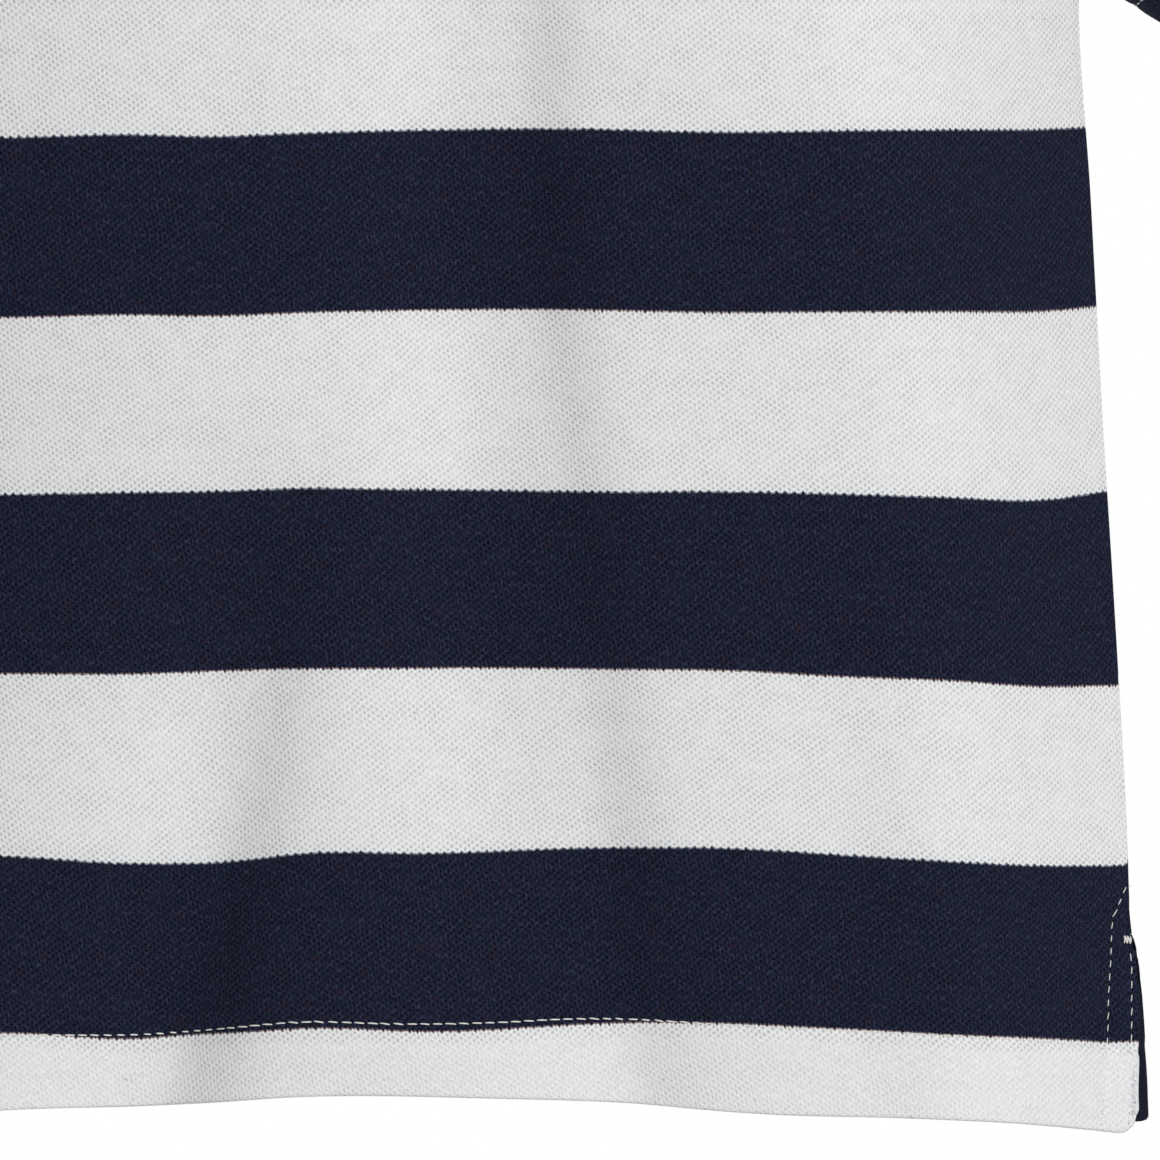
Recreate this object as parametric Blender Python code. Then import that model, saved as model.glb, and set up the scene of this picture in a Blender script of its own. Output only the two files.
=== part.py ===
"""Child's polo shirt in striped cotton pique: hollow, filled out, with nobody in it.

Metres, +Z up. The chest faces -Y and the wearer's left is at +X. The origin is the middle of
the neck opening, level with the two points where the shoulder seams reach the collar.

Every cloth piece is a wall between an outer and an inner grid of points. The body's outer
surface is read at x and at a "rise": -1 on the hem, 0 at the armpit, 1 on the shoulder seam.
"""

from collections import namedtuple
from math import pi

import bmesh
import bpy
import numpy as np
from mathutils import Vector

FRONT = -1
BACK = 1
LEFT = 1
RIGHT = -1

# Cloth
WALL = 0.0012
HEM_WALL = 0.0018
HEM_DEPTH = 0.018
SEAM_GAP = 0.0003

# Body: heights, and the hollow sections that the front and the back follow
ARMPIT_HEIGHT = -0.165
ARMPIT_TO_HEM = 0.270
NECK_HALF_WIDTH = 0.058
FRONT_NECK_DROP = 0.052
BACK_NECK_DROP = 0.011
NECK_MARGIN = 0.00005
SHOULDER_HALF_WIDTH = 0.150
SHOULDER_SLOPE = 0.48
SHOULDER_EASE = 0.050
TOP_ROUNDING = 2.2
FLANK_POWER = 1.25
FLANK_SOFTNESS = 0.25
FLANK_CORE = 0.014
CROWN = 0.08

Section = namedtuple("Section", "height half_width front_depth back_depth flank")
SECTIONS = (
    Section(-0.440, 0.1775, 0.029, 0.027, 0.045),
    Section(-0.390, 0.1750, 0.030, 0.029, 0.045),
    Section(-0.300, 0.1705, 0.036, 0.035, 0.046),
    Section(-0.220, 0.1660, 0.045, 0.044, 0.050),
    Section(-0.165, 0.1630, 0.052, 0.052, 0.058),
    Section(-0.110, 0.1690, 0.053, 0.056, 0.060),
    Section(-0.040, 0.1720, 0.050, 0.056, 0.060),
    Section(0.020, 0.1720, 0.046, 0.053, 0.060),
)

ArmholePoint = namedtuple("ArmholePoint", "height_share half_width")
ARMHOLE = (
    ArmholePoint(0.00, 0.1630),
    ArmholePoint(0.06, 0.1535),
    ArmholePoint(0.16, 0.1455),
    ArmholePoint(0.34, 0.1400),
    ArmholePoint(0.55, 0.1395),
    ArmholePoint(0.80, 0.1435),
    ArmholePoint(1.00, 0.1500),
)

HemPoint = namedtuple("HemPoint", "across front back")
HEM = (
    HemPoint(-0.180, -0.4392, -0.4362),
    HemPoint(-0.130, -0.4350, -0.4325),
    HemPoint(-0.090, -0.4327, -0.4302),
    HemPoint(-0.060, -0.4323, -0.4300),
    HemPoint(-0.024, -0.4293, -0.4305),
    HemPoint(0.032, -0.4302, -0.4320),
    HemPoint(0.088, -0.4338, -0.4312),
    HemPoint(0.145, -0.4364, -0.4342),
    HemPoint(0.180, -0.4416, -0.4384),
)

# Soft troughs that start below the chest and deepen to the hem
Fold = namedtuple("Fold", "side top_height top_x hem_x left_width right_width depth")
FOLDS = (
    Fold(FRONT, -0.070, 0.014, 0.054, 0.024, 0.012, 0.0060),
    Fold(FRONT, -0.240, -0.010, -0.058, 0.024, 0.012, 0.0065),
    Fold(FRONT, -0.190, -0.098, -0.122, 0.022, 0.016, 0.0050),
    Fold(FRONT, -0.260, 0.100, 0.112, 0.020, 0.014, 0.0025),
    Fold(BACK, -0.130, 0.040, 0.070, 0.028, 0.020, 0.0060),
    Fold(BACK, -0.150, -0.035, -0.048, 0.018, 0.030, 0.0070),
    Fold(BACK, -0.230, -0.100, -0.118, 0.014, 0.022, 0.0045),
)
FOLD_TOP_WIDTH = 0.6
FOLD_HEM_WIDTH = 1.2

# Side vents
VENT_LENGTH = 0.045
VENT_CORNER = 0.0045
VENT_REACH = 0.012
VENT_OPENING = 0.0034
VentEdge = namedtuple("VentEdge", "above_hem front back")
VENT_EDGES = (
    VentEdge(0.000, -0.0011, 0.0014),
    VentEdge(0.010, -0.0007, 0.0015),
    VentEdge(0.019, -0.0001, 0.0014),
    VentEdge(0.030, 0.0005, 0.0017),
    VentEdge(0.039, 0.0009, 0.0010),
    VentEdge(VENT_LENGTH, 0.0, 0.0),
)
TAPE_WALL = 0.0010
TAPE_WIDTH = 0.0075
TAPE_TIP = 0.0010

# Grid lines of the front and the back
EDGE_DISTANCES = (0.0, 0.0015, 0.0045, TAPE_WIDTH, VENT_REACH)
SLOT_HALF_WIDTH = 0.010
STRAIGHT_REACH = 0.020
TOP_COLUMNS = (
    SLOT_HALF_WIDTH, STRAIGHT_REACH, 0.031, 0.042, 0.0505, 0.0558, NECK_HALF_WIDTH,
    0.075, 0.095, 0.115,
)
TAPE_HEIGHT = 0.058
HEIGHTS_ABOVE_HEM = (
    0.0, 0.006, HEM_DEPTH, 0.031, VENT_LENGTH, TAPE_HEIGHT, 0.092, 0.127, 0.162, 0.197, 0.233,
)
UPPER_ROWS = 11
UPPER_ROW_POWER = 1.4

# Sleeves
UNDERARM_LENGTH = 0.034
UNDERARM_ANGLE = np.radians(30.5)
SLEEVE_ANGLE = np.radians(38.0)
SHOULDER_ANGLE = np.radians(25.0)
CUFF_HALF_HEIGHT = 0.0545
CUFF_HALF_DEPTH = 0.0270
SLEEVE_RINGS = 8

# Collar: all round from the centre front (0) to the centre back (180 degrees)
COLLAR_WALL = 0.0015
COLLAR_SEAM = 0.0012
COLLAR_FRONT_GAP = 0.0006
STAND_LEAN = 0.18
FOLD_RISE = 0.0055
FOLD_WIDTH = 0.0105
STAND_STEPS = 2
LEAF_STEPS = 7
NECK_AXIS_Y = -0.008
NEARBY = 0.003
NEARBY_TURN = 2
CollarStation = namedtuple("CollarStation", "around stand edge_x edge_turn edge_lift")
COLLAR = (
    CollarStation(0, 0.0075, 0.043, 21, 0.0022),
    CollarStation(30, 0.0110, 0.060, 33, 0.0026),
    CollarStation(60, 0.0160, 0.080, 56, 0.0045),
    CollarStation(90, 0.0200, 0.091, 88, 0.0055),
    CollarStation(120, 0.0220, 0.078, 117, 0.0045),
    CollarStation(150, 0.0230, 0.044, 133, 0.0028),
    CollarStation(180, 0.0235, 0.000, 138, 0.0024),
)

# Placket and buttons
PLACKET_HALF_WIDTH = 0.014
PLACKET_LENGTH = 0.108
SLOT_MARGIN = 0.004
PLACKET_WALL = 0.0016
BUTTON_RADIUS = 0.0055
BUTTON_THICKNESS = 0.0024
BUTTON_RIM = 0.0013
BUTTON_DISH = 0.0006
BUTTON_EDGE = 0.0004
BUTTON_HOLE_RADIUS = 0.0007
BUTTON_HOLE_OFFSET = 0.00125
BUTTON_SIDES = 28
BUTTON_HOLE_SIDES = 10
BUTTON_HEIGHTS = {"button_upper": -0.070, "button_lower": -0.130}

# Finishes
NAVY = (0.014, 0.016, 0.034)
WHITE = (0.79, 0.80, 0.81)
SHELL = (0.80, 0.78, 0.72)
CLOTH_ROUGHNESS = 0.9
SHELL_ROUGHNESS = 0.3
SHARP_ANGLE = np.radians(50)


def along(table, column, values):
    """Smooth curve through one column of a table, read against its first column."""
    known = np.array([row[0] for row in table], dtype=float)
    heights = np.array([getattr(row, column) for row in table], dtype=float)
    slopes = np.gradient(heights, known)
    values = np.clip(values, known[0], known[-1])
    left = np.clip(np.searchsorted(known, values, side="right") - 1, 0, len(known) - 2)
    span = known[left + 1] - known[left]
    share = (values - known[left]) / span
    rest = 1 - share
    ends = heights[left] * rest**2 * (1 + 2 * share)
    ends += heights[left + 1] * share**2 * (1 + 2 * rest)
    bends = span * share * rest * (slopes[left] * rest - slopes[left + 1] * share)
    return ends + bends


def unit(vectors):
    """Vectors of length one."""
    return vectors / np.linalg.norm(vectors, axis=-1, keepdims=True)


def ease(share):
    """0 to 1 with level ends."""
    share = np.clip(share, 0, 1)
    return share * share * (3 - 2 * share)


def shoulder_height(x):
    """Height of the shoulder line, which levels out across the neck."""
    reach = np.sqrt(x**2 + SHOULDER_EASE**2)
    return -SHOULDER_SLOPE * (reach - np.hypot(NECK_HALF_WIDTH, SHOULDER_EASE))


def hem_height(x, side):
    """Height of the lower edge."""
    return along(HEM, "front" if side == FRONT else "back", x)


def fold_depth(x, height, side):
    """Summed depth of the troughs: each is a bell across, steeper on one side, and it grows
    deeper and wider toward the hem."""
    total = np.zeros(np.broadcast(x, height).shape)
    for fold in FOLDS:
        if fold.side == side:
            share = (fold.top_height - height) / (fold.top_height - SECTIONS[0].height)
            share = np.clip(share, 0, 1)
            off = x - fold.top_x - (fold.hem_x - fold.top_x) * share
            width = np.where(off < 0, fold.left_width, fold.right_width)
            width = width * (FOLD_TOP_WIDTH + (FOLD_HEM_WIDTH - FOLD_TOP_WIDTH) * share)
            total += fold.depth * ease(share) * np.exp(-((off / width) ** 2))
    return total


def body_depth(x, height, side):
    """Distance of the cloth from the side seams' plane: level across, then a sloping flank."""
    half_width = along(SECTIONS, "half_width", height)
    depth = along(SECTIONS, "front_depth" if side == FRONT else "back_depth", height)
    flank = along(SECTIONS, "flank", height)
    turn = (np.abs(x) - half_width + flank) / flank
    turn = (turn + np.hypot(turn, FLANK_SOFTNESS)) / (1 + np.hypot(1, FLANK_SOFTNESS))
    turn = np.clip(turn, 0, 1) ** FLANK_POWER
    level = depth * (1 - CROWN * (x / half_width) ** 2) - fold_depth(x, height, side)
    return level * (1 - turn)


def surface(x, rise, side):
    """Outer points of the body cloth. Above the armpit the depth closes to the shoulder seam."""
    turn = np.clip(rise, 0, 1) * pi / 2
    closing = np.clip(np.cos(turn), 0, 1) ** (2 / TOP_ROUNDING)
    lower = ARMPIT_HEIGHT + (ARMPIT_HEIGHT - hem_height(x, side)) * rise
    climb = (shoulder_height(x) - ARMPIT_HEIGHT) * np.sin(turn) ** (2 / TOP_ROUNDING)
    height = np.where(rise < 0, lower, ARMPIT_HEIGHT + climb)
    depth = body_depth(x, height, side) * closing
    return np.stack(np.broadcast_arrays(x, side * depth, height), axis=-1)


def rise_at(x, height):
    """Rise, above the armpit, at which the cloth has the given height."""
    share = (height - ARMPIT_HEIGHT) / (shoulder_height(x) - ARMPIT_HEIGHT)
    return np.arcsin(np.clip(share, 0, 1) ** (TOP_ROUNDING / 2)) * 2 / pi


def on_shoulder(x):
    """Whether the panel's top edge at x is the shoulder seam and not the neckline."""
    return np.abs(x) > NECK_HALF_WIDTH - NECK_MARGIN


def top_rise(x, side):
    """Rise of the panel's top edge: 1 on the shoulders and less along the neckline."""
    drop = FRONT_NECK_DROP if side == FRONT else BACK_NECK_DROP
    inside = 1 - np.clip(np.abs(x) / NECK_HALF_WIDTH, 0, 1) ** 2
    neckline = rise_at(x, -drop * np.sqrt(inside))
    return np.where(on_shoulder(x), 1.0, neckline)


def row_rises():
    """Rises of the grid's rows, from hem to shoulder."""
    lower = np.array(HEIGHTS_ABOVE_HEM) / ARMPIT_TO_HEM - 1
    upper = (np.arange(UPPER_ROWS + 1) / UPPER_ROWS) ** UPPER_ROW_POWER
    return np.concatenate([lower, upper])


ARMPIT_ROW = len(HEIGHTS_ABOVE_HEM)


def cut_half_widths(rises):
    """Half-width of the cut panel on each row: the side seam, then the armhole."""
    seam = along(SECTIONS, "half_width", ARMPIT_HEIGHT + ARMPIT_TO_HEM * rises)
    share = np.sin(np.clip(rises, 0, 1) * pi / 2) ** (2 / TOP_ROUNDING)
    return np.where(rises < 0, seam, along(ARMHOLE, "half_width", share))


def column_places(half_widths):
    """x of every grid point for x > 0: upright lines beside the slot, then shares of the
    width, then fixed distances from the edge."""
    inner_span = half_widths[:, None] - VENT_REACH
    top_columns = np.array(TOP_COLUMNS)
    shares = top_columns / (SHOULDER_HALF_WIDTH - VENT_REACH)
    inner = np.where(top_columns <= STRAIGHT_REACH, top_columns, inner_span * shares)
    outer = half_widths[:, None] - np.array(EDGE_DISTANCES)[::-1]
    return np.hstack([inner, outer])


def vent_swing():
    """How far a vent stands open on each row below the armpit: 1 at the hem, 0 at its top."""
    return ease(1 - np.array(HEIGHTS_ABOVE_HEM) / VENT_LENGTH)


def open_vents(points, side):
    """Round the hem corners, part the vent edges and let them curve sideways."""
    swing = vent_swing()
    column_name = "front" if side == FRONT else "back"
    shift = along(VENT_EDGES, column_name, np.array(HEIGHTS_ABOVE_HEM))
    for step, distance in enumerate(EDGE_DISTANCES):
        reach = (1 - distance / VENT_REACH) ** 2
        inset = max(VENT_CORNER - distance, 0)
        lift = VENT_CORNER - np.sqrt(VENT_CORNER**2 - inset**2)
        for column in (step, -1 - step):
            outward = np.sign(points[0, column, 0])
            points[: len(swing), column, 0] += outward * shift * reach
            points[: len(swing), column, 1] += side * VENT_OPENING * swing * reach
            points[0, column, 2] += lift


def panel_grid(side):
    """Outer points of a panel, hem row first; columns run so that the faces point outward."""
    rises = row_rises()
    half = column_places(cut_half_widths(rises))
    x = np.hstack([-half[:, ::-1], half]) * -side
    reached = np.where(rises[:, None] > 0, rises[:, None] * top_rise(x[-1], side), rises[:, None])
    points = surface(x, reached, side)
    points[-1, on_shoulder(x[-1]), 1] = side * SEAM_GAP / 2
    points[: ARMPIT_ROW + 1, (0, -1), 1] = side * SEAM_GAP / 2
    open_vents(points, side)
    return points


def grid_normals(points, round_columns=False):
    """Outward unit normals: the cross product of the steps along the columns and the rows."""
    along_rows = np.gradient(points, axis=0)
    if round_columns:
        across = np.roll(points, -1, axis=1) - np.roll(points, 1, axis=1)
    else:
        across = np.gradient(points, axis=1)
    return unit(np.cross(across, along_rows))


def seam_inward(normals):
    """Inward steps kept in the seam's plane, long enough to leave the whole wall."""
    level = -normals * np.array([1, 0, 1])
    return level / np.sum(level**2, axis=-1, keepdims=True)


def flank_inward(points, normals, edge):
    """Inward steps beside a side seam: they fan toward a line inside the narrow flank, and
    turn square to the cloth where the vent opens."""
    core = points[:, [edge]] - np.array([FLANK_CORE, 0, 0]) * np.sign(points[:, [edge], :1])
    fan = unit((core - points) * np.array([1, 1, 0]))
    swing = np.zeros((len(points), 1, 1))
    swing[:ARMPIT_ROW, 0, 0] = vent_swing()
    way = fan * (1 - swing) - normals * swing
    return -way / np.sum(way * normals, axis=-1, keepdims=True)


def sleeve_direction(angle, hand):
    """Unit vector leaving the body at an angle below the horizontal."""
    return np.array([hand * np.cos(angle), 0.0, -np.sin(angle)])


class ArmholeSeam:
    """Closed line where a sleeve meets the body, from the shoulder down one side to the
    armpit and up the other, with the steps that mitre the two walls together."""

    def __init__(self, hand, grids, normals):
        """grids and normals hold the front's and the back's outer points and normals."""
        self.hand = hand
        self.sides = (FRONT, BACK) if hand == LEFT else (BACK, FRONT)
        going_down = self.edge(self.sides[0], grids)[::-1]
        going_up = self.edge(self.sides[1], grids)
        self.points = self.joined(going_down, going_up)
        self.points[(0, UPPER_ROWS), 1] = 0
        body_normals = self.joined(
            self.edge(self.sides[0], normals)[::-1], self.edge(self.sides[1], normals)
        )
        body_normals[(0, UPPER_ROWS), 1] = 0
        body_normals = unit(body_normals)
        steps = np.linalg.norm(self.points - np.roll(self.points, 1, axis=0), axis=1)
        down = np.cumsum(steps[: UPPER_ROWS + 1]) - steps[0]
        up = np.cumsum(np.append(steps[UPPER_ROWS + 1 :], steps[0]))
        self.angles = pi * np.concatenate([down / down[-1], 1 + up[:-1] / up[-1]])
        under = ((1 - np.cos(self.angles)) / 2)[:, None]
        top_way = sleeve_direction(SHOULDER_ANGLE, hand)
        under_way = sleeve_direction(UNDERARM_ANGLE, hand)
        self.leaving = unit(top_way * (1 - under) + under_way * under)
        tangents = np.roll(self.points, -1, axis=0) - np.roll(self.points, 1, axis=0)
        sleeve_normals = unit(np.cross(tangents, self.leaving))
        both = body_normals + sleeve_normals
        self.inward = -2 * both / np.sum(both**2, axis=1, keepdims=True)
        crossing = unit(np.cross(self.inward, tangents))
        self.across = crossing * np.sign(np.sum(crossing * self.leaving, axis=1))[:, None]

    def column(self, side):
        """The panel column that lies on this armhole."""
        return -1 if self.hand * side == FRONT else 0

    def edge(self, side, grids):
        """A panel grid's values along the armhole, from armpit to shoulder."""
        return grids[side][ARMPIT_ROW:, self.column(side)]

    @staticmethod
    def joined(going_down, going_up):
        """One closed loop from two edges that share their end points."""
        return np.concatenate([going_down, going_up[1:-1]])

    def for_panel(self, side, values):
        """Loop values in the order of a panel's rows, from armpit to shoulder."""
        if side == self.sides[0]:
            return values[: UPPER_ROWS + 1][::-1]
        return np.concatenate([values[UPPER_ROWS:], values[:1]])


def row_walls():
    """Wall thickness on each row of a panel: two layers over the turned hem."""
    thickness = np.full(ARMPIT_ROW + UPPER_ROWS + 1, WALL)
    thickness[: len(HEIGHTS_ABOVE_HEM)][np.array(HEIGHTS_ABOVE_HEM) <= HEM_DEPTH] = HEM_WALL
    return thickness


def panel_inward(side, normals, points, seams):
    """Inward steps of a panel, bent into the plane of each seam."""
    inward = -normals
    rows = slice(0, ARMPIT_ROW + 1)
    beside = EDGE_DISTANCES.index(TAPE_WIDTH) + 1
    for columns, edge in ((slice(None, beside), 0), (slice(-beside, None), -1)):
        inward[rows, columns] = flank_inward(points[rows, columns], normals[rows, columns], edge)
    top = on_shoulder(points[-1, :, 0])
    inward[-1, top] = seam_inward(normals[-1, top])
    for seam in seams:
        inward[ARMPIT_ROW:, seam.column(side)] = seam.for_panel(side, seam.inward)
    return inward


def add_material(piece, colour, roughness):
    """The piece's own finish."""
    finish = bpy.data.materials.new(piece.name + "_finish")
    finish.use_nodes = True
    shader = finish.node_tree.nodes["Principled BSDF"]
    shader.inputs["Base Color"].default_value = (*colour, 1)
    shader.inputs["Roughness"].default_value = roughness
    shader.inputs["Metallic"].default_value = 0
    piece.data.materials.append(finish)


def add_mesh(name, points, faces, colour):
    """A named object from points and faces, shaded smooth up to its edges."""
    mesh = bpy.data.meshes.new(name)
    mesh.from_pydata([tuple(point) for point in points], [], faces)
    mesh.validate()
    mesh.shade_smooth()
    mesh.set_sharp_from_angle(angle=SHARP_ANGLE)
    piece = bpy.data.objects.new(name, mesh)
    bpy.context.scene.collection.objects.link(piece)
    add_material(piece, colour, CLOTH_ROUGHNESS)


def rim_face(points, corners):
    """The rim's four corners in the order that splits it along its shorter diagonal, so that
    the rims of two pieces at a seam stay parallel."""
    first, second, third, fourth = corners
    one_way = np.linalg.norm(points[first] - points[third])
    other_way = np.linalg.norm(points[second] - points[fourth])
    return corners if one_way < other_way else (second, third, fourth, first)


def add_wall(name, outer, inner, colour, round_columns=False, left_out=()):
    """Closed wall between two grids: both skins, and a rim along every open edge."""
    rows, columns = outer.shape[:2]
    total = rows * columns
    points = np.concatenate([outer.reshape(-1, 3), inner.reshape(-1, 3)])
    skin = []
    for row in range(rows - 1):
        for column in range(columns if round_columns else columns - 1):
            if (row, column) not in left_out:
                after = (column + 1) % columns
                low = row * columns
                high = low + columns
                skin.append((low + column, low + after, high + after, high + column))
    faces = list(skin)
    edges = set()
    for face in skin:
        first, second, third, fourth = (total + point for point in face)
        faces.append((first, fourth, third, second))
        edges.update(zip(face, face[1:] + face[:1]))
    for start, end in sorted(edges):
        if (end, start) not in edges:
            faces.append(rim_face(points, (end, start, total + start, total + end)))
    add_mesh(name, points, faces, colour)


def slot_cells(columns):
    """Cells of the front left open behind the placket."""
    middle = columns // 2 - 1
    heights = surface(np.zeros(1), row_rises(), FRONT)[:, 2]
    bottom = -FRONT_NECK_DROP - PLACKET_LENGTH
    return {(row, middle) for row in range(len(heights) - 1) if heights[row] > bottom}


def add_panels(grids, inward):
    """Front and back."""
    thickness = row_walls()[:, None, None]
    for side, name in ((FRONT, "front"), (BACK, "back")):
        outer = grids[side]
        inner = outer + inward[side] * thickness
        left_out = slot_cells(outer.shape[1]) if side == FRONT else ()
        add_wall(name, outer, inner, WHITE, left_out=left_out)


def add_sleeve(name, seam):
    """Sleeve: lines that leave the armhole along the shoulder and land square on the cuff."""
    axis = sleeve_direction(SLEEVE_ANGLE, seam.hand)
    under_way = sleeve_direction(UNDERARM_ANGLE, seam.hand)
    upward = np.array([seam.hand * np.sin(SLEEVE_ANGLE), 0, np.cos(SLEEVE_ANGLE)])
    start = seam.points + seam.across * SEAM_GAP / 2
    middle = start[UPPER_ROWS] + under_way * UNDERARM_LENGTH + upward * CUFF_HALF_HEIGHT
    turn = seam.angles[:, None]
    toward_front = np.array([0, -seam.hand, 0])
    cuff = middle + upward * CUFF_HALF_HEIGHT * np.cos(turn)
    cuff = cuff + toward_front * CUFF_HALF_DEPTH * np.sin(turn)
    under = (1 - np.cos(turn)) / 2
    landing = unit(axis * (1 - under) + under_way * under)
    length = np.linalg.norm(cuff - start, axis=1, keepdims=True)
    share = np.linspace(0, 1, SLEEVE_RINGS)[:, None, None]
    rest = 1 - share
    ends = start * rest**2 * (1 + 2 * share) + cuff * share**2 * (1 + 2 * rest)
    bends = length * share * rest * (seam.leaving * rest - landing * share)
    outer = ends + bends
    inward = -grid_normals(outer, round_columns=True)
    inward[0] = seam.inward
    thickness = np.full((SLEEVE_RINGS, 1, 1), WALL)
    thickness[-2:] = HEM_WALL
    add_wall(name, outer, outer + inward * thickness, NAVY, round_columns=True)


def neckline_stations(grids, normals):
    """Neckline points and cloth normals from the centre front by the left to the centre back."""
    reach = NECK_HALF_WIDTH + NECK_MARGIN
    inside = {side: np.abs(grids[side][-1, :, 0]) < reach for side in grids}
    rim = {side: grids[side][-1, inside[side]] for side in grids}
    lean = {side: normals[side][-1, inside[side]] for side in grids}
    half = len(rim[FRONT]) // 2
    centre_x = np.array([COLLAR_FRONT_GAP + COLLAR_WALL / 2])
    centre = surface(centre_x, top_rise(centre_x, FRONT), FRONT)
    points = np.concatenate([centre, rim[FRONT][half:], rim[BACK][1:half]])
    steady = np.concatenate([lean[FRONT][half : half + 1], lean[FRONT][half:], lean[BACK][1:half]])
    neck_point = half
    points[neck_point, 1] = 0
    steady[neck_point] = unit(steady[neck_point] * np.array([1, 0, 1]))
    return points, steady, neck_point


def body_point(x, turn):
    """Body surface by a turn in degrees: 0 on the chest, 90 on the shoulder, 180 on the back."""
    chest = surface(x, turn / 90, FRONT)
    back = surface(x, 2 - turn / 90, BACK)
    return np.where((turn < 90)[:, None], chest, back)


def collar_half(grids, normals):
    """Mid-wall points of the collar's left half: stations by profile steps."""
    rim, cloth_normals, neck_point = neckline_stations(grids, normals)
    share = np.clip(rim[:, 0] / NECK_HALF_WIDTH, 0, 1)
    around = np.degrees(np.arcsin(share))
    around[neck_point + 1 :] = 180 - around[neck_point + 1 :]
    level_out = unit(rim * np.array([1, 1, 0]) - np.array([0, NECK_AXIS_Y, 0]))
    tangents = np.gradient(rim, axis=0)
    into_neck = unit(np.cross(cloth_normals, tangents))
    into_neck *= -np.sign(np.sum(into_neck * (level_out - [0, 0, 1]), axis=1))[:, None]
    stand_way = unit(np.array([0, 0, 1]) - STAND_LEAN * level_out)
    standing = unit(np.cross(stand_way, tangents))
    square = np.abs(np.sum(standing * into_neck, axis=1, keepdims=True))
    base = rim - cloth_normals * WALL / 2
    base = base + into_neck * (COLLAR_SEAM + COLLAR_WALL / 2 * square)
    stand = along(COLLAR, "stand", around)[:, None]
    top = base + stand_way * stand
    edge_turn = along(COLLAR, "edge_turn", around)
    edge_x = along(COLLAR, "edge_x", around)
    edge = body_point(edge_x, edge_turn)
    lying = unit(np.cross(body_point(edge_x + NEARBY, edge_turn) - edge,
                          body_point(edge_x, edge_turn + NEARBY_TURN) - edge))
    lying *= np.sign(np.sum(lying * (level_out + [0, 0, 1]), axis=1))[:, None]
    edge = edge + lying * along(COLLAR, "edge_lift", around)[:, None]
    rising = top + stand_way * FOLD_RISE
    falling = top + level_out * FOLD_WIDTH + np.array([0, 0, 1]) * FOLD_RISE
    profile = [base + (top - base) * step / STAND_STEPS for step in range(STAND_STEPS)]
    for step in range(LEAF_STEPS + 1):
        share = step / LEAF_STEPS
        rest = 1 - share
        point = top * rest**3 + rising * 3 * rest**2 * share
        profile.append(point + falling * 3 * rest * share**2 + edge * share**3)
    return np.stack(profile, axis=1)


def add_collar(grids, normals):
    """Collar: the left half and its mirror image, joined at the centre back."""
    half = collar_half(grids, normals)
    other = half[::-1] * np.array([-1, 1, 1])
    points = np.concatenate([half, other])
    outward = grid_normals(points)
    outer = points + outward * COLLAR_WALL / 2
    inner = points - outward * COLLAR_WALL / 2
    add_wall("collar", outer, inner, NAVY)


def placket_strip(grid, normals):
    """Panel points and normals under the placket, from its lower end to the neckline."""
    middle = grid.shape[1] // 2
    share = (PLACKET_HALF_WIDTH - SLOT_HALF_WIDTH) / (TOP_COLUMNS[1] - TOP_COLUMNS[0])
    heights = grid[:, middle, 2]
    first = np.argmax(heights > -FRONT_NECK_DROP - PLACKET_LENGTH) - 1
    strips = []
    for values in (grid[first:], normals[first:]):
        slot_left, slot_right = values[:, middle - 1], values[:, middle]
        left = slot_left + share * (values[:, middle - 2] - slot_left)
        right = slot_right + share * (values[:, middle + 1] - slot_right)
        strips.append(np.stack([left, slot_left, slot_right, right], axis=1))
    end = -FRONT_NECK_DROP - PLACKET_LENGTH - SLOT_MARGIN
    bottom = (end - heights[first]) / (heights[first + 1] - heights[first])
    top = 2 * SEAM_GAP / (heights[-1] - heights[-2])
    for strip in strips:
        strip[0] += (strip[1] - strip[0]) * bottom
        strip[-1] += (strip[-2] - strip[-1]) * top
    return strips[0], unit(strips[1])


def add_plackets(grid, normals):
    """The strip over the slot and the strip behind it."""
    points, outward = placket_strip(grid, normals)
    over = points + outward * SEAM_GAP
    add_wall("placket", over + outward * PLACKET_WALL, over, WHITE)
    under = points - outward * (WALL + SEAM_GAP)
    add_wall("placket_under", under, under - outward * PLACKET_WALL, WHITE)


def button_blank():
    """Dished disc with a raised rim."""
    shape = bmesh.new()
    bmesh.ops.create_cone(
        shape, cap_ends=True, segments=BUTTON_SIDES, radius1=BUTTON_RADIUS,
        radius2=BUTTON_RADIUS, depth=BUTTON_THICKNESS,
    )
    top = max(shape.faces, key=lambda face: face.calc_center_median().z)
    bmesh.ops.inset_region(shape, faces=[top], thickness=BUTTON_RIM)
    bmesh.ops.translate(shape, verts=top.verts, vec=(0, 0, -BUTTON_DISH))
    return shape


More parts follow.
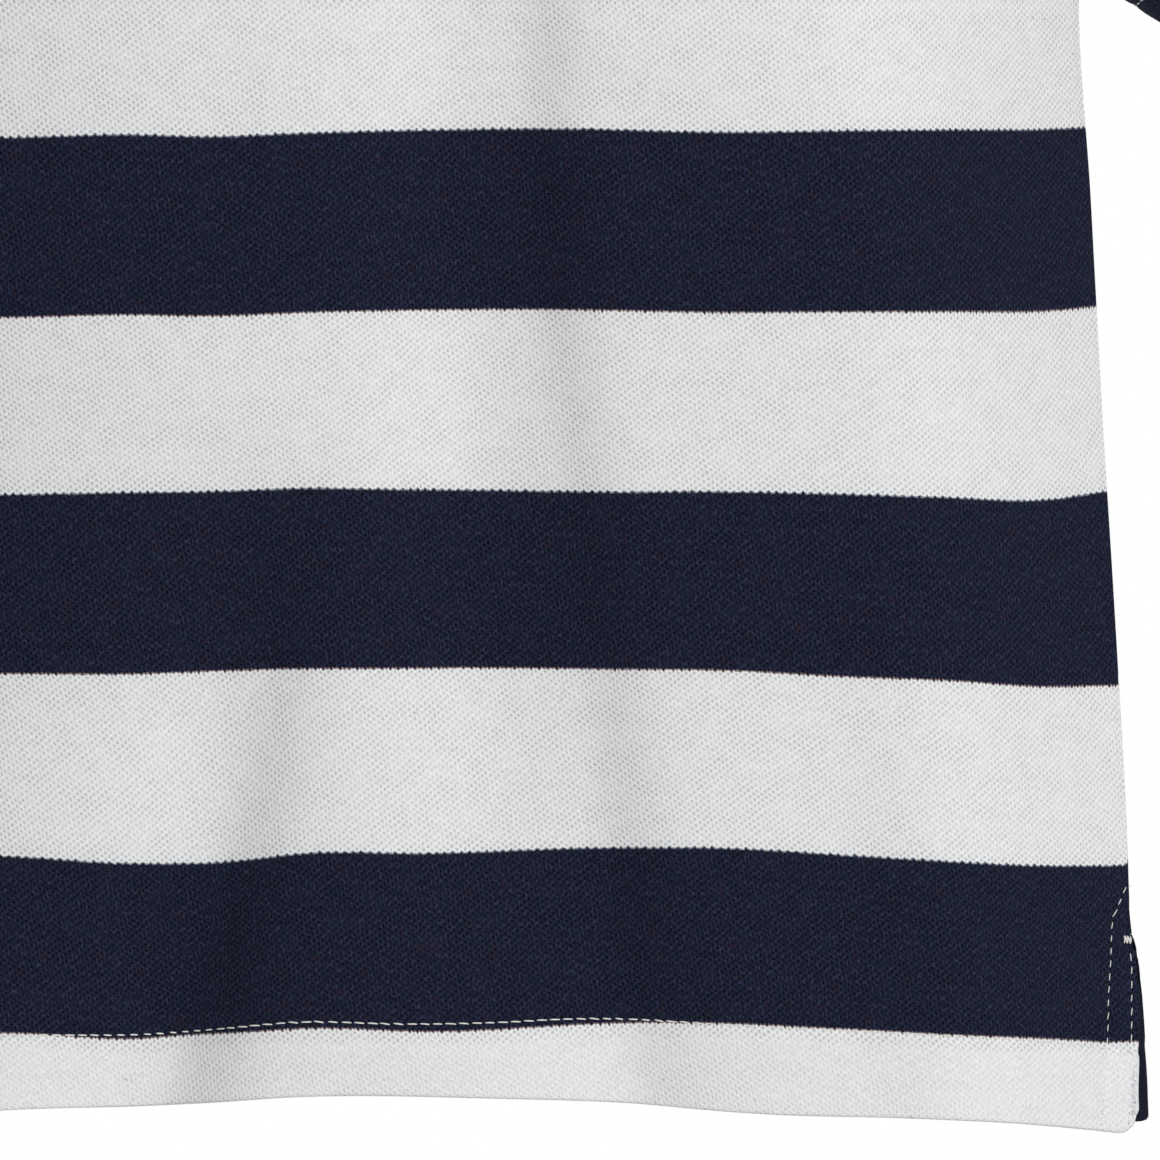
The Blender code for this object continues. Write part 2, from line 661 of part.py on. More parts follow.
def add_button(name, height):
    """Four-hole button lying on the placket."""
    shape = button_blank()
    mesh = bpy.data.meshes.new(name)
    shape.to_mesh(mesh)
    shape.free()
    button = bpy.data.objects.new(name, mesh)
    bpy.context.scene.collection.objects.link(button)
    add_material(button, SHELL, SHELL_ROUGHNESS)
    centre = np.zeros(1)
    point = surface(centre, rise_at(centre, height), FRONT)[0]
    below = surface(centre, rise_at(centre, height - BUTTON_RADIUS), FRONT)[0]
    above = surface(centre, rise_at(centre, height + BUTTON_RADIUS), FRONT)[0]
    outward = unit(np.cross(np.array([1, 0, 0]), above - below))
    place = point + outward * (2 * SEAM_GAP + PLACKET_WALL + BUTTON_THICKNESS / 2)
    button.location = Vector(place)
    button.rotation_mode = "QUATERNION"
    button.rotation_quaternion = Vector(outward).to_track_quat("Z", "Y")
    rounding = button.modifiers.new("rounding", "BEVEL")
    rounding.width = BUTTON_EDGE
    rounding.segments = 2
    holes = button.modifiers.new("holes", "BOOLEAN")
    holes.operation = "DIFFERENCE"
    holes.object = add_hole_cutter(name, button)


def add_hole_cutter(name, button):
    """Four thin rods that cut the thread holes."""
    shape = bmesh.new()
    for corner in range(4):
        turn = pi / 4 + corner * pi / 2
        made = bmesh.ops.create_cone(
            shape, cap_ends=True, segments=BUTTON_HOLE_SIDES, radius1=BUTTON_HOLE_RADIUS,
            radius2=BUTTON_HOLE_RADIUS, depth=3 * BUTTON_THICKNESS,
        )
        shift = 2**0.5 * BUTTON_HOLE_OFFSET * Vector((np.cos(turn), np.sin(turn), 0))
        bmesh.ops.translate(shape, verts=made["verts"], vec=shift)
    mesh = bpy.data.meshes.new(name + "_holes")
    shape.to_mesh(mesh)
    shape.free()
    cutter = bpy.data.objects.new(name + "_holes", mesh)
    bpy.context.scene.collection.objects.link(cutter)
    cutter.parent = button
    cutter.hide_render = True
    cutter.display_type = "WIRE"
    return cutter


def add_vent_tape(name, points, inward, side, hand):
    """Tape inside a vent edge: the panel's edge columns moved in, narrowing to a tip on top."""
    rows = HEIGHTS_ABOVE_HEM.index(TAPE_HEIGHT) + 1
    count = EDGE_DISTANCES.index(TAPE_WIDTH) + 1
    at_end = hand * side == FRONT
    columns = np.arange(-count, 0) if at_end else np.arange(count)
    edge = -1 if at_end else 0
    strip = points[:rows, columns].copy()
    steps = inward[:rows, columns].copy()
    share = TAPE_TIP / TAPE_WIDTH
    strip[-1] = strip[-1, edge] + (strip[-1] - strip[-1, edge]) * share
    steps[-1] = steps[-1, edge]
    thickness = row_walls()[:rows, None, None]
    outer = strip + steps * (thickness + SEAM_GAP)
    inner = strip + steps * (thickness + SEAM_GAP + TAPE_WALL)
    add_wall(name, outer, inner, NAVY)


def main():
    """Build the shirt."""
    for thing in list(bpy.data.objects):
        bpy.data.objects.remove(thing, do_unlink=True)
    grids = {side: panel_grid(side) for side in (FRONT, BACK)}
    normals = {side: grid_normals(grids[side]) for side in grids}
    seams = [ArmholeSeam(hand, grids, normals) for hand in (LEFT, RIGHT)]
    inward = {side: panel_inward(side, normals[side], grids[side], seams) for side in grids}
    for seam in seams:
        for side in grids:
            shift = seam.for_panel(side, seam.across) * SEAM_GAP / 2
            grids[side][ARMPIT_ROW:, seam.column(side)] -= shift
    add_panels(grids, inward)
    add_sleeve("sleeve_left", seams[0])
    add_sleeve("sleeve_right", seams[1])
    add_collar(grids, normals)
    add_plackets(grids[FRONT], normals[FRONT])
    for name, height in BUTTON_HEIGHTS.items():
        add_button(name, height)
    for side, side_name in ((FRONT, "front"), (BACK, "back")):
        for hand, hand_name in ((LEFT, "left"), (RIGHT, "right")):
            name = f"vent_tape_{side_name}_{hand_name}"
            add_vent_tape(name, grids[side], inward[side], side, hand)


main()
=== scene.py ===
"""Looks of a child's striped pique polo shirt that keeps its worn shape with nobody in it.

Metres, with tables in millimetres. +Z up, chest toward -Y, wearer's left at +X, origin in the
middle of the neck opening. Every cloth piece is a thin closed shell on a grid of points. A
panel is read at "across" (the place on its shoulder line) and "rise" (-1 hem, 0 armpit,
1 shoulder or neckline). The map "cloth" holds each point's place in the unstretched cloth, in
metres: the knit and the stripes are drawn in it.
"""

from collections import namedtuple
from math import pi

import bpy
import numpy as np
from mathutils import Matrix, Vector


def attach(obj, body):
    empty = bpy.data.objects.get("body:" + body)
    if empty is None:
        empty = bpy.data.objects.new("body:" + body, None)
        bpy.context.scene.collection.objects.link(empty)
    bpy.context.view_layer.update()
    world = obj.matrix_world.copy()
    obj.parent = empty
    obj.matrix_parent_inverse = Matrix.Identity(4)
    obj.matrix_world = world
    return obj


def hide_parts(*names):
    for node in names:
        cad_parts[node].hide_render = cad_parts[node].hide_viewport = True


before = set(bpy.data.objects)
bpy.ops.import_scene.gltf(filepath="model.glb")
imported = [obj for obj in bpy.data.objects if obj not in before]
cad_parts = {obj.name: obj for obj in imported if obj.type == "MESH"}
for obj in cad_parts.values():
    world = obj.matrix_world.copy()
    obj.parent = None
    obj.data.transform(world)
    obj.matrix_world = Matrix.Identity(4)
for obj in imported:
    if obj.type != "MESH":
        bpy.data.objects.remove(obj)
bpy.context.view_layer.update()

MM = 0.001
FRONT, BACK = -1, 1
LEFT, RIGHT = 1, -1
SIDES = {"front": FRONT, "back": BACK}
HANDS = {"left": LEFT, "right": RIGHT}
FACE = {FRONT: "front", BACK: "back"}


def table(columns, *rows, plain=""):
    """Columns by name: lengths in millimetres, turned into metres, or plain numbers."""
    named = zip(columns.split(), np.array(rows, dtype=float).T)
    return {name: values * (1 if name in plain.split() else MM) for name, values in named}


# Cloth, and the lengths over which a turned hem grows thick and a relief fades in
CLOTH = 0.0011
HEM_CLOTH = 0.0019
HEM_DEPTH = 0.0187
HEM_FOLD = 0.0102
HEM_EDGE = 0.0008
FADING = 0.004
SEAM_GAP = 0.00001

# Body, as in the frame
ARMPIT_HEIGHT = -0.165
ARMPIT_TO_HEM = 0.270
NECK_HALF_WIDTH = 0.058
NECK_DROPS = {FRONT: 0.052, BACK: 0.011}
SHOULDER_HALF_WIDTH = 0.150
SHOULDER_SLOPE = 0.48
SHOULDER_EASE = 0.050
TOP_ROUNDING = 2.2
FLANK_POWER = 1.25
FLANK_SOFTNESS = 0.25
CROWN = 0.08
SECTIONS = table(
    "height half_width front back flank",
    (-440, 177.5, 29, 27, 45), (-390, 175, 30, 29, 45), (-300, 170.5, 36, 35, 46),
    (-220, 166, 45, 44, 50), (-165, 163, 52, 52, 58), (-110, 169, 53, 56, 60),
    (-40, 172, 50, 56, 60), (20, 172, 46, 53, 60))
ARMHOLE = table(
    "height_share half_width",
    (0, 163), (0.06, 153.5), (0.16, 145.5), (0.34, 140), (0.55, 139.5), (0.8, 143.5), (1, 150),
    plain="height_share")
HEM = table(
    "across front back",
    (-180, -439.2, -436.2), (-130, -435, -432.5), (-90, -432.7, -430.2), (-60, -432.3, -430),
    (-24, -429.3, -430.5), (32, -430.2, -432), (88, -433.8, -431.2), (145, -436.4, -434.2),
    (180, -441.6, -438.4))

# Soft troughs that deepen to the hem: top height, x on top and at the hem, widths, depth
FOLD_FOOT = -0.440
FOLD_TOP_WIDTH = 0.6
FOLD_HEM_WIDTH = 1.2
FOLDS = {
    FRONT: ((-70, 14, 54, 24, 12, 6), (-240, -10, -58, 24, 12, 6.5),
            (-190, -98, -122, 22, 16, 5), (-260, 100, 112, 20, 14, 2.5)),
    BACK: ((-130, 40, 70, 28, 20, 6), (-150, -35, -48, 18, 30, 7),
           (-230, -100, -118, 14, 22, 4.5)),
}

# Creases: troughs (ridges, with a negative depth) from one point to another of the front's x
# and z, or of the way round a sleeve from its top over its front and the way to its cuff;
# then bow, half-width and depth
CREASES = {
    FRONT: ((148, -150, 70, -112, 6, 7, 2.2), (150, -164, 88, -158, -5, 6.5, 1.6),
            (132, -105, 100, -66, 4, 6, 1.4), (-146, -147, -82, -100, -7, 7.5, 2.4),
            (-150, -168, -100, -176, 4, 6, 1.4), (-130, -98, -96, -58, -4, 6, 1.3),
            (72, -40, 50, -102, 6, 8.5, 1.4), (-70, -36, -52, -94, -5, 8, 1.2),
            (24, -176, 78, -206, 6, 12, 1.1), (-30, -186, -84, -232, -8, 13, 1.2),
            (10, -80, 20, -420, 0, 19, 6.6), (30, -80, 34, -280, 0, 8.5, 1.6),
            (-58, -100, -62, -340, 0, 45, -4.5), (-38, -270, -52, -440, 0, 16.5, 4.2),
            (-62, -375, -80, -470, 0, 28, 4.8), (66, -390, 72, -470, 0, 22, 3.2)),
    BACK: ((146, -152, 78, -108, 6, 7.5, 2.4), (150, -170, 96, -166, -4, 6.5, 1.5),
           (-148, -150, -74, -116, -6, 7, 2.2), (-132, -102, -100, -60, -4, 6, 1.4),
           (28, -200, 86, -250, 8, 13, 1.3), (-20, -214, -72, -262, -6, 12, 1.2)),
}
SLEEVE_CREASES = {
    LEFT: ((112.5, 2.2, 45, 37.4, 0, 7.5, 2.2), (126, 24.2, 71.25, 68.2, 0, 8, 1.8),
           (22.5, 4.4, 39, 55, 0, 8.5, 1.4), (153.75, 6.6, 217.5, 39.6, 0, 7.5, 2.1),
           (161.25, 44, 211.5, 85.8, 0, 8.5, 1.5)),
    RIGHT: ((111, 3.3, 52.5, 30.8, 0, 7, 2.1), (123, 33, 66, 77, 0, 8.5, 1.9),
            (18.75, 5.5, 30, 60.5, 0, 9, 1.3), (156, 4.4, 214.5, 44, 0, 8, 2.2),
            (166.5, 46.2, 206.25, 79.2, 0, 8, 1.4)),
}

# The turned hem was sewn a little unevenly
HEM_DEPTHS = table(
    "across depth",
    (-150, 18.1), (-77, 17.4), (-45, 16.6), (-22, 17.6), (1, 17), (24, 17.9), (36, 19),
    (60, 20.2), (110, 19.6), (150, 18.8))

# Side vents: how far the edges stand out, and the tape's two stitch lines from the edge
VENT_LENGTH = 0.045
VENT_CORNERS = {FRONT: 0.0045, BACK: 0.0015}
VENT_REACH = 0.012
VENT_OPENING = 0.0034
SIDE_EDGES = table(
    "above_hem front back",
    (0, -0.7, 1.9), (10, -0.1, 2.1), (19, 0.8, 2), (30, 1.7, 1.9), (39, 1.8, 1.2),
    (45, 0.9, 0.9), (70, 1, 1), (110, 0.6, 0.6), (160, 0, 0))
TAPE_HEIGHT = 0.0576
TAPE_SHOULDER = 0.0500
TAPE_MARGIN = 0.0009
TAPE_CLOTH = 0.0007
TAPE_OVERHANG = 0.0011
TAPE_GAP = 0.00005
TAPE_LINES = table(
    "above_hem outer inner",
    (0, 8.8, 1.6), (10, 7.4, 1.4), (19, 6.5, 1.2), (34, 5.6, 1.1), (50, 3.6, 0.2))

# Placket
SLOT_HALF_WIDTH = 0.010
STRAIGHT_REACH = 0.020
PLACKET_HALF_WIDTH = 0.014
PLACKET_LENGTH = 0.108
SLOT_MARGIN = 0.004
PLACKET_CLOTH = 0.0015
PLACKET_STITCH_INSET = 0.0020
LAYER_GAP = 0.0002
BUTTON_HEIGHTS = {"button_upper": -0.070, "button_lower": -0.130}
BUTTON_FACE = 0.0040
BUTTON_HOLE_OFFSET = 0.00125
BUTTONHOLE_HALF_LENGTH = 0.0068

# Sleeves
UNDERARM_LENGTH = 0.034
UNDERARM_ANGLE = np.radians(30.5)
SLEEVE_ANGLE = np.radians(38.0)
SHOULDER_ANGLE = np.radians(25.0)
CUFF_HALF_HEIGHT = 0.0545
CUFF_HALF_DEPTH = 0.0270
SLEEVE_ROUND = 0.27
SLEEVE_LENGTH = 0.11
SLEEVE_RINGS = 72
CUFF_MARGIN = 0.0025

# Collar: all round from the centre front (0) to the centre back (180 degrees)
COLLAR_CLOTH = 0.0014
COLLAR_FRONT_GAP = 0.0006
STAND_LEAN = 0.18
FOLD_RISE = 0.0055
FOLD_WIDTH = 0.0105
STAND_SINK = 0.0006
NEARBY = 0.003
NEARBY_TURN = 2
NECK_AXIS_Y = -0.008
COLLAR_STATIONS = 96
STAND_STEPS = 10
LEAF_STEPS = 34
COLLAR = table(
    "around stand edge_x edge_turn edge_lift",
    (0, 7.5, 43, 21, 2.2), (30, 11, 60, 33, 2.6), (60, 16, 80, 56, 4.5), (90, 20, 91, 88, 5.5),
    (120, 22, 78, 117, 4.5), (150, 23, 44, 133, 2.8), (180, 23.5, 0, 138, 2.4),
    plain="around edge_turn")

# Stitches, and each yarn's radius, rise above the cloth and sideways bow
STITCH_PITCH = 0.0031
HEM_STITCH = 0.0031
VENT_STITCH = 0.0023
HEM_THREAD = 0.00020
VENT_THREAD = 0.00014
STITCH_BOW = -0.00008
STITCH_SINK = 0.00012
THREAD_SIDES = 6
THREAD_RINGS = 7
NEEDLE_HOLE = 0.00026
Yarn = namedtuple("Yarn", "radius rise bow")
HOLE_YARN = Yarn(0.00013, 0.00016, 0)
TACK_YARN = Yarn(0.00022, 0.00044, 0)
BUTTONHOLE_YARN = Yarn(0.00014, 0.00026, 0)
BUTTON_YARN = Yarn(0.00040, 0.00075, 0)

# Knit: sizes of its cells, ribs and twill lines, and how far the cells drift
CELL_WIDTH = 0.00199
LEAN = 0.167
STRIPE = 0.04235
COURSE = STRIPE / 58
CELL_DRIFT = 0.0012
COURSE_DRIFT = 0.0004
RIB_WIDTH = 0.0015
LOOP_HEIGHT = 0.0011
TWILL_WIDTH = 0.0009

# Stripes: their borders reach into the white, are ragged and soft, and have darker painted shade in
# their holes
NAVY_BAND_FOOT = -0.2440
STROKE = 0.00034
STROKE_BETWEEN = 0.00026
PEAK = 0.00046
RAGGEDNESS = 0.0012
BORDER_SHIFT = 0.00022
BORDER_SOFTNESS = 0.00030
BORDER_WIDTH = 0.0030

# How far the stripes hang below level at five heights of the front
BACK_HANG = 0.8
WAVE_HEIGHTS = {"top": -0.2230, "middle": -0.2870, "below": -0.3290, "low": -0.3715,
                "foot": -0.4140}
WAVES = table(
    "across top middle below low foot",
    (-170, 0.2, 2.8, 3.7, 5.8, 6), (-130, 1.4, 1.6, 1.8, 2.6, 2.6), (-90, 2.2, 0.8, 0.9, 1.6, 1.5),
    (-62, 1.5, 0.3, 1, 3.5, 3.5), (-43, 2, 0.1, 0.6, 3.7, 2), (-20, 1.1, -0.6, -0.2, 0.8, 0.1),
    (10, 0.3, 0, -0.1, 1.1, 1), (45, 0.1, 0.4, 0.1, 0.1, -0.2), (75, 0.9, 0.3, 0.2, -0.3, -0.7),
    (107, 0.5, 1, 1.9, 1.7, 0.8), (130, 0.3, 1.9, 2.9, 3.2, 2.1), (154, 0.2, 3.1, 5.2, 5.2, 4),
    (170, -0.6, 1.5, 5.6, 6, 5.9))


# ---------- shape of the shirt


def cubic(start, end, bend, share):
    """start (1 - s)^2 (1 + 2 s) + end s^2 (3 - 2 s) + bend s (1 - s)."""
    rest = 1 - share
    ends = start * rest**2 * (1 + 2 * share) + end * share**2 * (1 + 2 * rest)
    return ends + bend * share * rest


def along(table, column, values):
    """Smooth curve through a column of a table, read against its first column: cubic pieces
    that meet with the slopes of the neighbouring rows."""
    known = next(iter(table.values()))
    heights = table[column]
    slopes = np.gradient(heights, known)
    values = np.clip(values, known[0], known[-1])
    left = np.clip(np.searchsorted(known, values, side="right") - 1, 0, len(known) - 2)
    gap = known[left + 1] - known[left]
    share = (values - known[left]) / gap
    bend = gap * (slopes[left] * (1 - share) - slopes[left + 1] * share)
    return cubic(heights[left], heights[left + 1], bend, share)


def unit(vectors):
    """Vectors of length one."""
    return vectors / np.linalg.norm(vectors, axis=-1, keepdims=True)


def ease(share):
    """0 to 1 with level ends: 3 s^2 - 2 s^3."""
    share = np.clip(share, 0, 1)
    return share * share * (3 - 2 * share)


def bell(distance, half_width):
    """exp(-(distance / half_width)^2)."""
    return np.exp(-((distance / half_width) ** 2))


def groove(distance, depth, half_width):
    """A bell of a depth and half-width in millimetres."""
    return depth * MM * bell(distance, half_width * MM)


def hem_relief(inside, doubled):
    """Relief by the distance inside a turned hem, which stands out by so many millimetres,
    with a groove where it is sewn."""
    return doubled * MM * ease(inside / FADING) - groove(inside, 0.26, 0.8)


def run_along(points, axis=0):
    """Length run along an axis of a grid of points, from its first one."""
    steps = np.linalg.norm(np.diff(points, axis=axis), axis=-1)
    return np.insert(np.cumsum(steps, axis=axis), 0, 0, axis=axis)


def read_at(places, run, values):
    """Rows of values, known at the lengths run, read at other places."""
    return np.stack([np.interp(places, run, column) for column in values.T], axis=1)


def shoulder_height(x):
    """Height of the shoulder line: a hyperbola that levels out across the neck."""
    reach = np.sqrt(x**2 + SHOULDER_EASE**2)
    return -SHOULDER_SLOPE * (reach - np.hypot(NECK_HALF_WIDTH, SHOULDER_EASE))


def fold_depth(x, height, side):
    """Summed depth of the folds: each is a bell across, steeper on one side, that grows
    deeper and wider toward the hem."""
    total = np.zeros(np.broadcast(x, height).shape)
    for top, top_x, hem_x, left_width, right_width, depth in np.array(FOLDS[side]) * MM:
        share = np.clip((top - height) / (top - FOLD_FOOT), 0, 1)
        off = x - top_x - (hem_x - top_x) * share
        width = np.where(off < 0, left_width, right_width)
        width = width * (FOLD_TOP_WIDTH + (FOLD_HEM_WIDTH - FOLD_TOP_WIDTH) * share)
        total += depth * ease(share) * bell(off, width)
    return total


def crease_depth(creases, u, v):
    """Summed depth of the creases: a bell across a bowed line, fading to both its ends."""
    total = np.zeros(np.broadcast(u, v).shape)
    for start_u, start_v, end_u, end_v, bow, half_width, depth in np.array(creases) * MM:
        over, up = end_u - start_u, end_v - start_v
        length = np.hypot(over, up)
        share = np.clip(((u - start_u) * over + (v - start_v) * up) / length**2, 0, 1)
        off = ((u - start_u) * up - (v - start_v) * over) / length
        off = off - bow * 4 * share * (1 - share)
        total += depth * np.sin(pi * share) ** 0.8 * bell(off, half_width)
    return total


def body_depth(x, height, side):
    """Distance of the cloth from the side seams' plane: level across, then a sloping flank."""
    columns = ("half_width", FACE[side], "flank")
    half_width, depth, flank = (along(SECTIONS, column, height) for column in columns)
    turn = (np.abs(x) - half_width + flank) / flank
    turn = (turn + np.hypot(turn, FLANK_SOFTNESS)) / (1 + np.hypot(1, FLANK_SOFTNESS))
    level = depth * (1 - CROWN * (x / half_width) ** 2) - fold_depth(x, height, side)
    level = level - crease_depth(CREASES[side], x, height)
    return level * (1 - np.clip(turn, 0, 1) ** FLANK_POWER)


def surface(x, rise, side):
    """Outer points of the body cloth. Above the armpit the depth closes to the shoulder seam
    on a super-ellipse."""
    turn = np.clip(rise, 0, 1) * pi / 2
    closing = np.clip(np.cos(turn), 0, 1) ** (2 / TOP_ROUNDING)
    lower = ARMPIT_HEIGHT + (ARMPIT_HEIGHT - along(HEM, FACE[side], x)) * rise
    climb = (shoulder_height(x) - ARMPIT_HEIGHT) * np.sin(turn) ** (2 / TOP_ROUNDING)
    height = np.where(rise < 0, lower, ARMPIT_HEIGHT + climb)
    depth = body_depth(x, height, side) * closing
    return np.stack(np.broadcast_arrays(x, side * depth, height), axis=-1)


def rise_at(x, height):
    """Rise, above the armpit, at which the cloth has the given height."""
    share = (height - ARMPIT_HEIGHT) / (shoulder_height(x) - ARMPIT_HEIGHT)
    return np.arcsin(np.clip(share, 0, 1) ** (TOP_ROUNDING / 2)) * 2 / pi


def top_rise(x, side):
    """Rise of the panel's top edge: 1 on the shoulders and less along the round neckline."""
    inside = 1 - np.clip(np.abs(x) / NECK_HALF_WIDTH, 0, 1) ** 2
    neckline = rise_at(x, -NECK_DROPS[side] * np.sqrt(inside))
    return np.where(np.abs(x) < NECK_HALF_WIDTH, neckline, 1.0)


def from_side(across):
    """Distance of a place on a panel from its side edge."""
    return SHOULDER_HALF_WIDTH - np.abs(across)


def panel_x(across, rise):
    """x of a place on a panel, whose edge is the side seam and then the armhole: upright
    beside the slot, then a share of the width, and a fixed distance from the edge beside it."""
    seam = along(SECTIONS, "half_width", ARMPIT_HEIGHT + ARMPIT_TO_HEM * rise)
    share = np.sin(np.clip(rise, 0, 1) * pi / 2) ** (2 / TOP_ROUNDING)
    half = np.where(rise < 0, seam, along(ARMHOLE, "half_width", share))
    place = np.abs(across)
    share = (place - STRAIGHT_REACH) / (SHOULDER_HALF_WIDTH - VENT_REACH - STRAIGHT_REACH)
    x = STRAIGHT_REACH + share * (half - VENT_REACH - STRAIGHT_REACH)
    x = np.where(place < STRAIGHT_REACH, place, x)
    place_beside = place > SHOULDER_HALF_WIDTH - VENT_REACH
    return np.where(place_beside, half - from_side(across), x) * np.sign(across)


def above_hem(rise):
    """Distance above the hem, in the cut cloth."""
    return (rise + 1) * ARMPIT_TO_HEM


def panel_points(across, rise, side):
    """Outer points of a panel, with its vents open and its hem corners rounded."""
    across, rise = np.broadcast_arrays(np.asarray(across, float), np.asarray(rise, float))
    reached = np.where(rise > 0, rise * top_rise(across, side), rise)
    points = surface(panel_x(across, rise), reached, side)
    height = above_hem(rise)
    from_edge = from_side(across)
    reach = np.clip(1 - from_edge / VENT_REACH, 0, 1) ** 2
    points[..., 0] += np.sign(across) * along(SIDE_EDGES, FACE[side], height) * reach
    points[..., 1] += side * VENT_OPENING * ease(1 - height / VENT_LENGTH) * reach
    corner = VENT_CORNERS[side]
    lift = corner - np.sqrt(corner**2 - np.clip(corner - from_edge, 0, corner) ** 2)
    points[..., 2] += lift * np.clip(1 - height / (2 * corner), 0, 1)
    return points


def panel_normals(across, rise, side):
    """Outward normals of a panel, from points a little to all sides."""
    step = 0.0004
    across, rise = np.broadcast_arrays(np.asarray(across, float), np.asarray(rise, float))
    over = panel_points(across + step, rise, side) - panel_points(across - step, rise, side)
    low, high = np.maximum(rise - step, -1), np.minimum(rise + step, 1)
    up = panel_points(across, high, side) - panel_points(across, low, side)
    return -side * unit(np.cross(over, up))


def lifted(across, rise, side, lift):
    """Points of a panel moved out along its normals, and the normals."""
    normals = panel_normals(across, rise, side)
    return panel_points(across, rise, side) + normals * lift, normals


def keep_to(side, *grids):
    """Keeps points from crossing the side seams' plane."""
    for points in grids:
        points[..., 1] = side * np.maximum(points[..., 1] * side, SEAM_GAP)


def hang(across, height, side):
    """How far the stripes hang below level: eased from each height of the table to the next.
    The back is like the front, mirrored and weaker."""
    place = across if side == FRONT else -across
    levels = list(WAVE_HEIGHTS.values())
    waves = [along(WAVES, column, place) for column in WAVE_HEIGHTS]
    wave = waves[0]
    for upper, lower, below in zip(levels, levels[1:], waves[1:]):
        wave = wave + (below - wave) * ease((upper - height) / (upper - lower))
    fading = 1 - ease((height - levels[0]) / (ARMPIT_HEIGHT - levels[0]) * 0.5)
    return (1.0 if side == FRONT else BACK_HANG) * wave * fading


def cloth_map(points, side):
    """Place in the unstretched cloth: the distance from the centre line along each row, left
    to right as the wearing side is looked at, and the height that the stripes keep, which
    above the armpit runs over the shoulder."""
    run = run_along(points[..., :2], axis=1)
    middle = [np.argmin(np.abs(points[0, :, 0]))]
    run = run - run[:, middle] - np.abs(points[:, middle, 0])
    height = points[..., 2] + hang(points[..., 0], points[..., 2], side)
    climb = np.linalg.norm(np.diff(points, axis=0), axis=2)
    for row in range(1, len(points)):
        over = points[row, :, 2] > ARMPIT_HEIGHT
        height[row, over] = height[row - 1, over] + climb[row - 1, over]
    return np.stack([run, height], axis=-1)


# ---------- meshes

Look = namedtuple("Look", "material slot")


def grid_quads(rows, columns):
    """Corner numbers of the quads of a grid, facing along (columns) x (rows)."""
    numbers = np.arange(rows * columns).reshape(rows, columns)
    corners = (numbers[:-1, :-1], numbers[:-1, 1:], numbers[1:, 1:], numbers[1:, :-1])
    return np.stack(corners, axis=-1).reshape(-1, 4)


def grid_normals(points):
    """Outward unit normals: the cross product of the steps along the columns and the rows."""
    return unit(np.cross(np.gradient(points, axis=1), np.gradient(points, axis=0)))


def add_quads(name, points, quads, places, look, *stands_for):
    """A named object of quads with its cloth map, smooth up to its edges. It wears its look's
    material, moves with the shirt when the look has a slot and hides the parts it stands for."""
    used, quads = np.unique(quads, return_inverse=True)
    quads = quads.reshape(-1, 4)
    mesh = bpy.data.meshes.new(name)
    mesh.vertices.add(len(used))
    mesh.vertices.foreach_set("co", points[used].astype(np.float32).ravel())
    mesh.loops.add(quads.size)
    mesh.loops.foreach_set("vertex_index", quads.astype(np.int32).ravel())
    mesh.polygons.add(len(quads))
    mesh.polygons.foreach_set("loop_start", np.arange(0, quads.size, 4, dtype=np.int32))
    if places is not None:
        layer = mesh.uv_layers.new(name="cloth")
        layer.uv.foreach_set("vector", places[used][quads.ravel()].astype(np.float32).ravel())
    mesh.update(calc_edges=True)
    mesh.validate()
    mesh.shade_smooth()
    mesh.set_sharp_from_angle(angle=np.radians(60))
    mesh.materials.append(look.material)
    piece = bpy.data.objects.new(name, mesh)
    bpy.context.scene.collection.objects.link(piece)
    if look.slot:
        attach(piece, "root")
    if stands_for:
        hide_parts(*stands_for)
    return piece


def border_steps(places):
    """Unit steps in the cloth map that lead out of a grid at its border points."""
    steps = np.zeros_like(places)
    steps[0] += unit(places[0] - places[1])
    steps[-1] += unit(places[-1] - places[-2])
    steps[:, 0] += unit(places[:, 0] - places[:, 1])
    steps[:, -1] += unit(places[:, -1] - places[:, -2])
    return steps


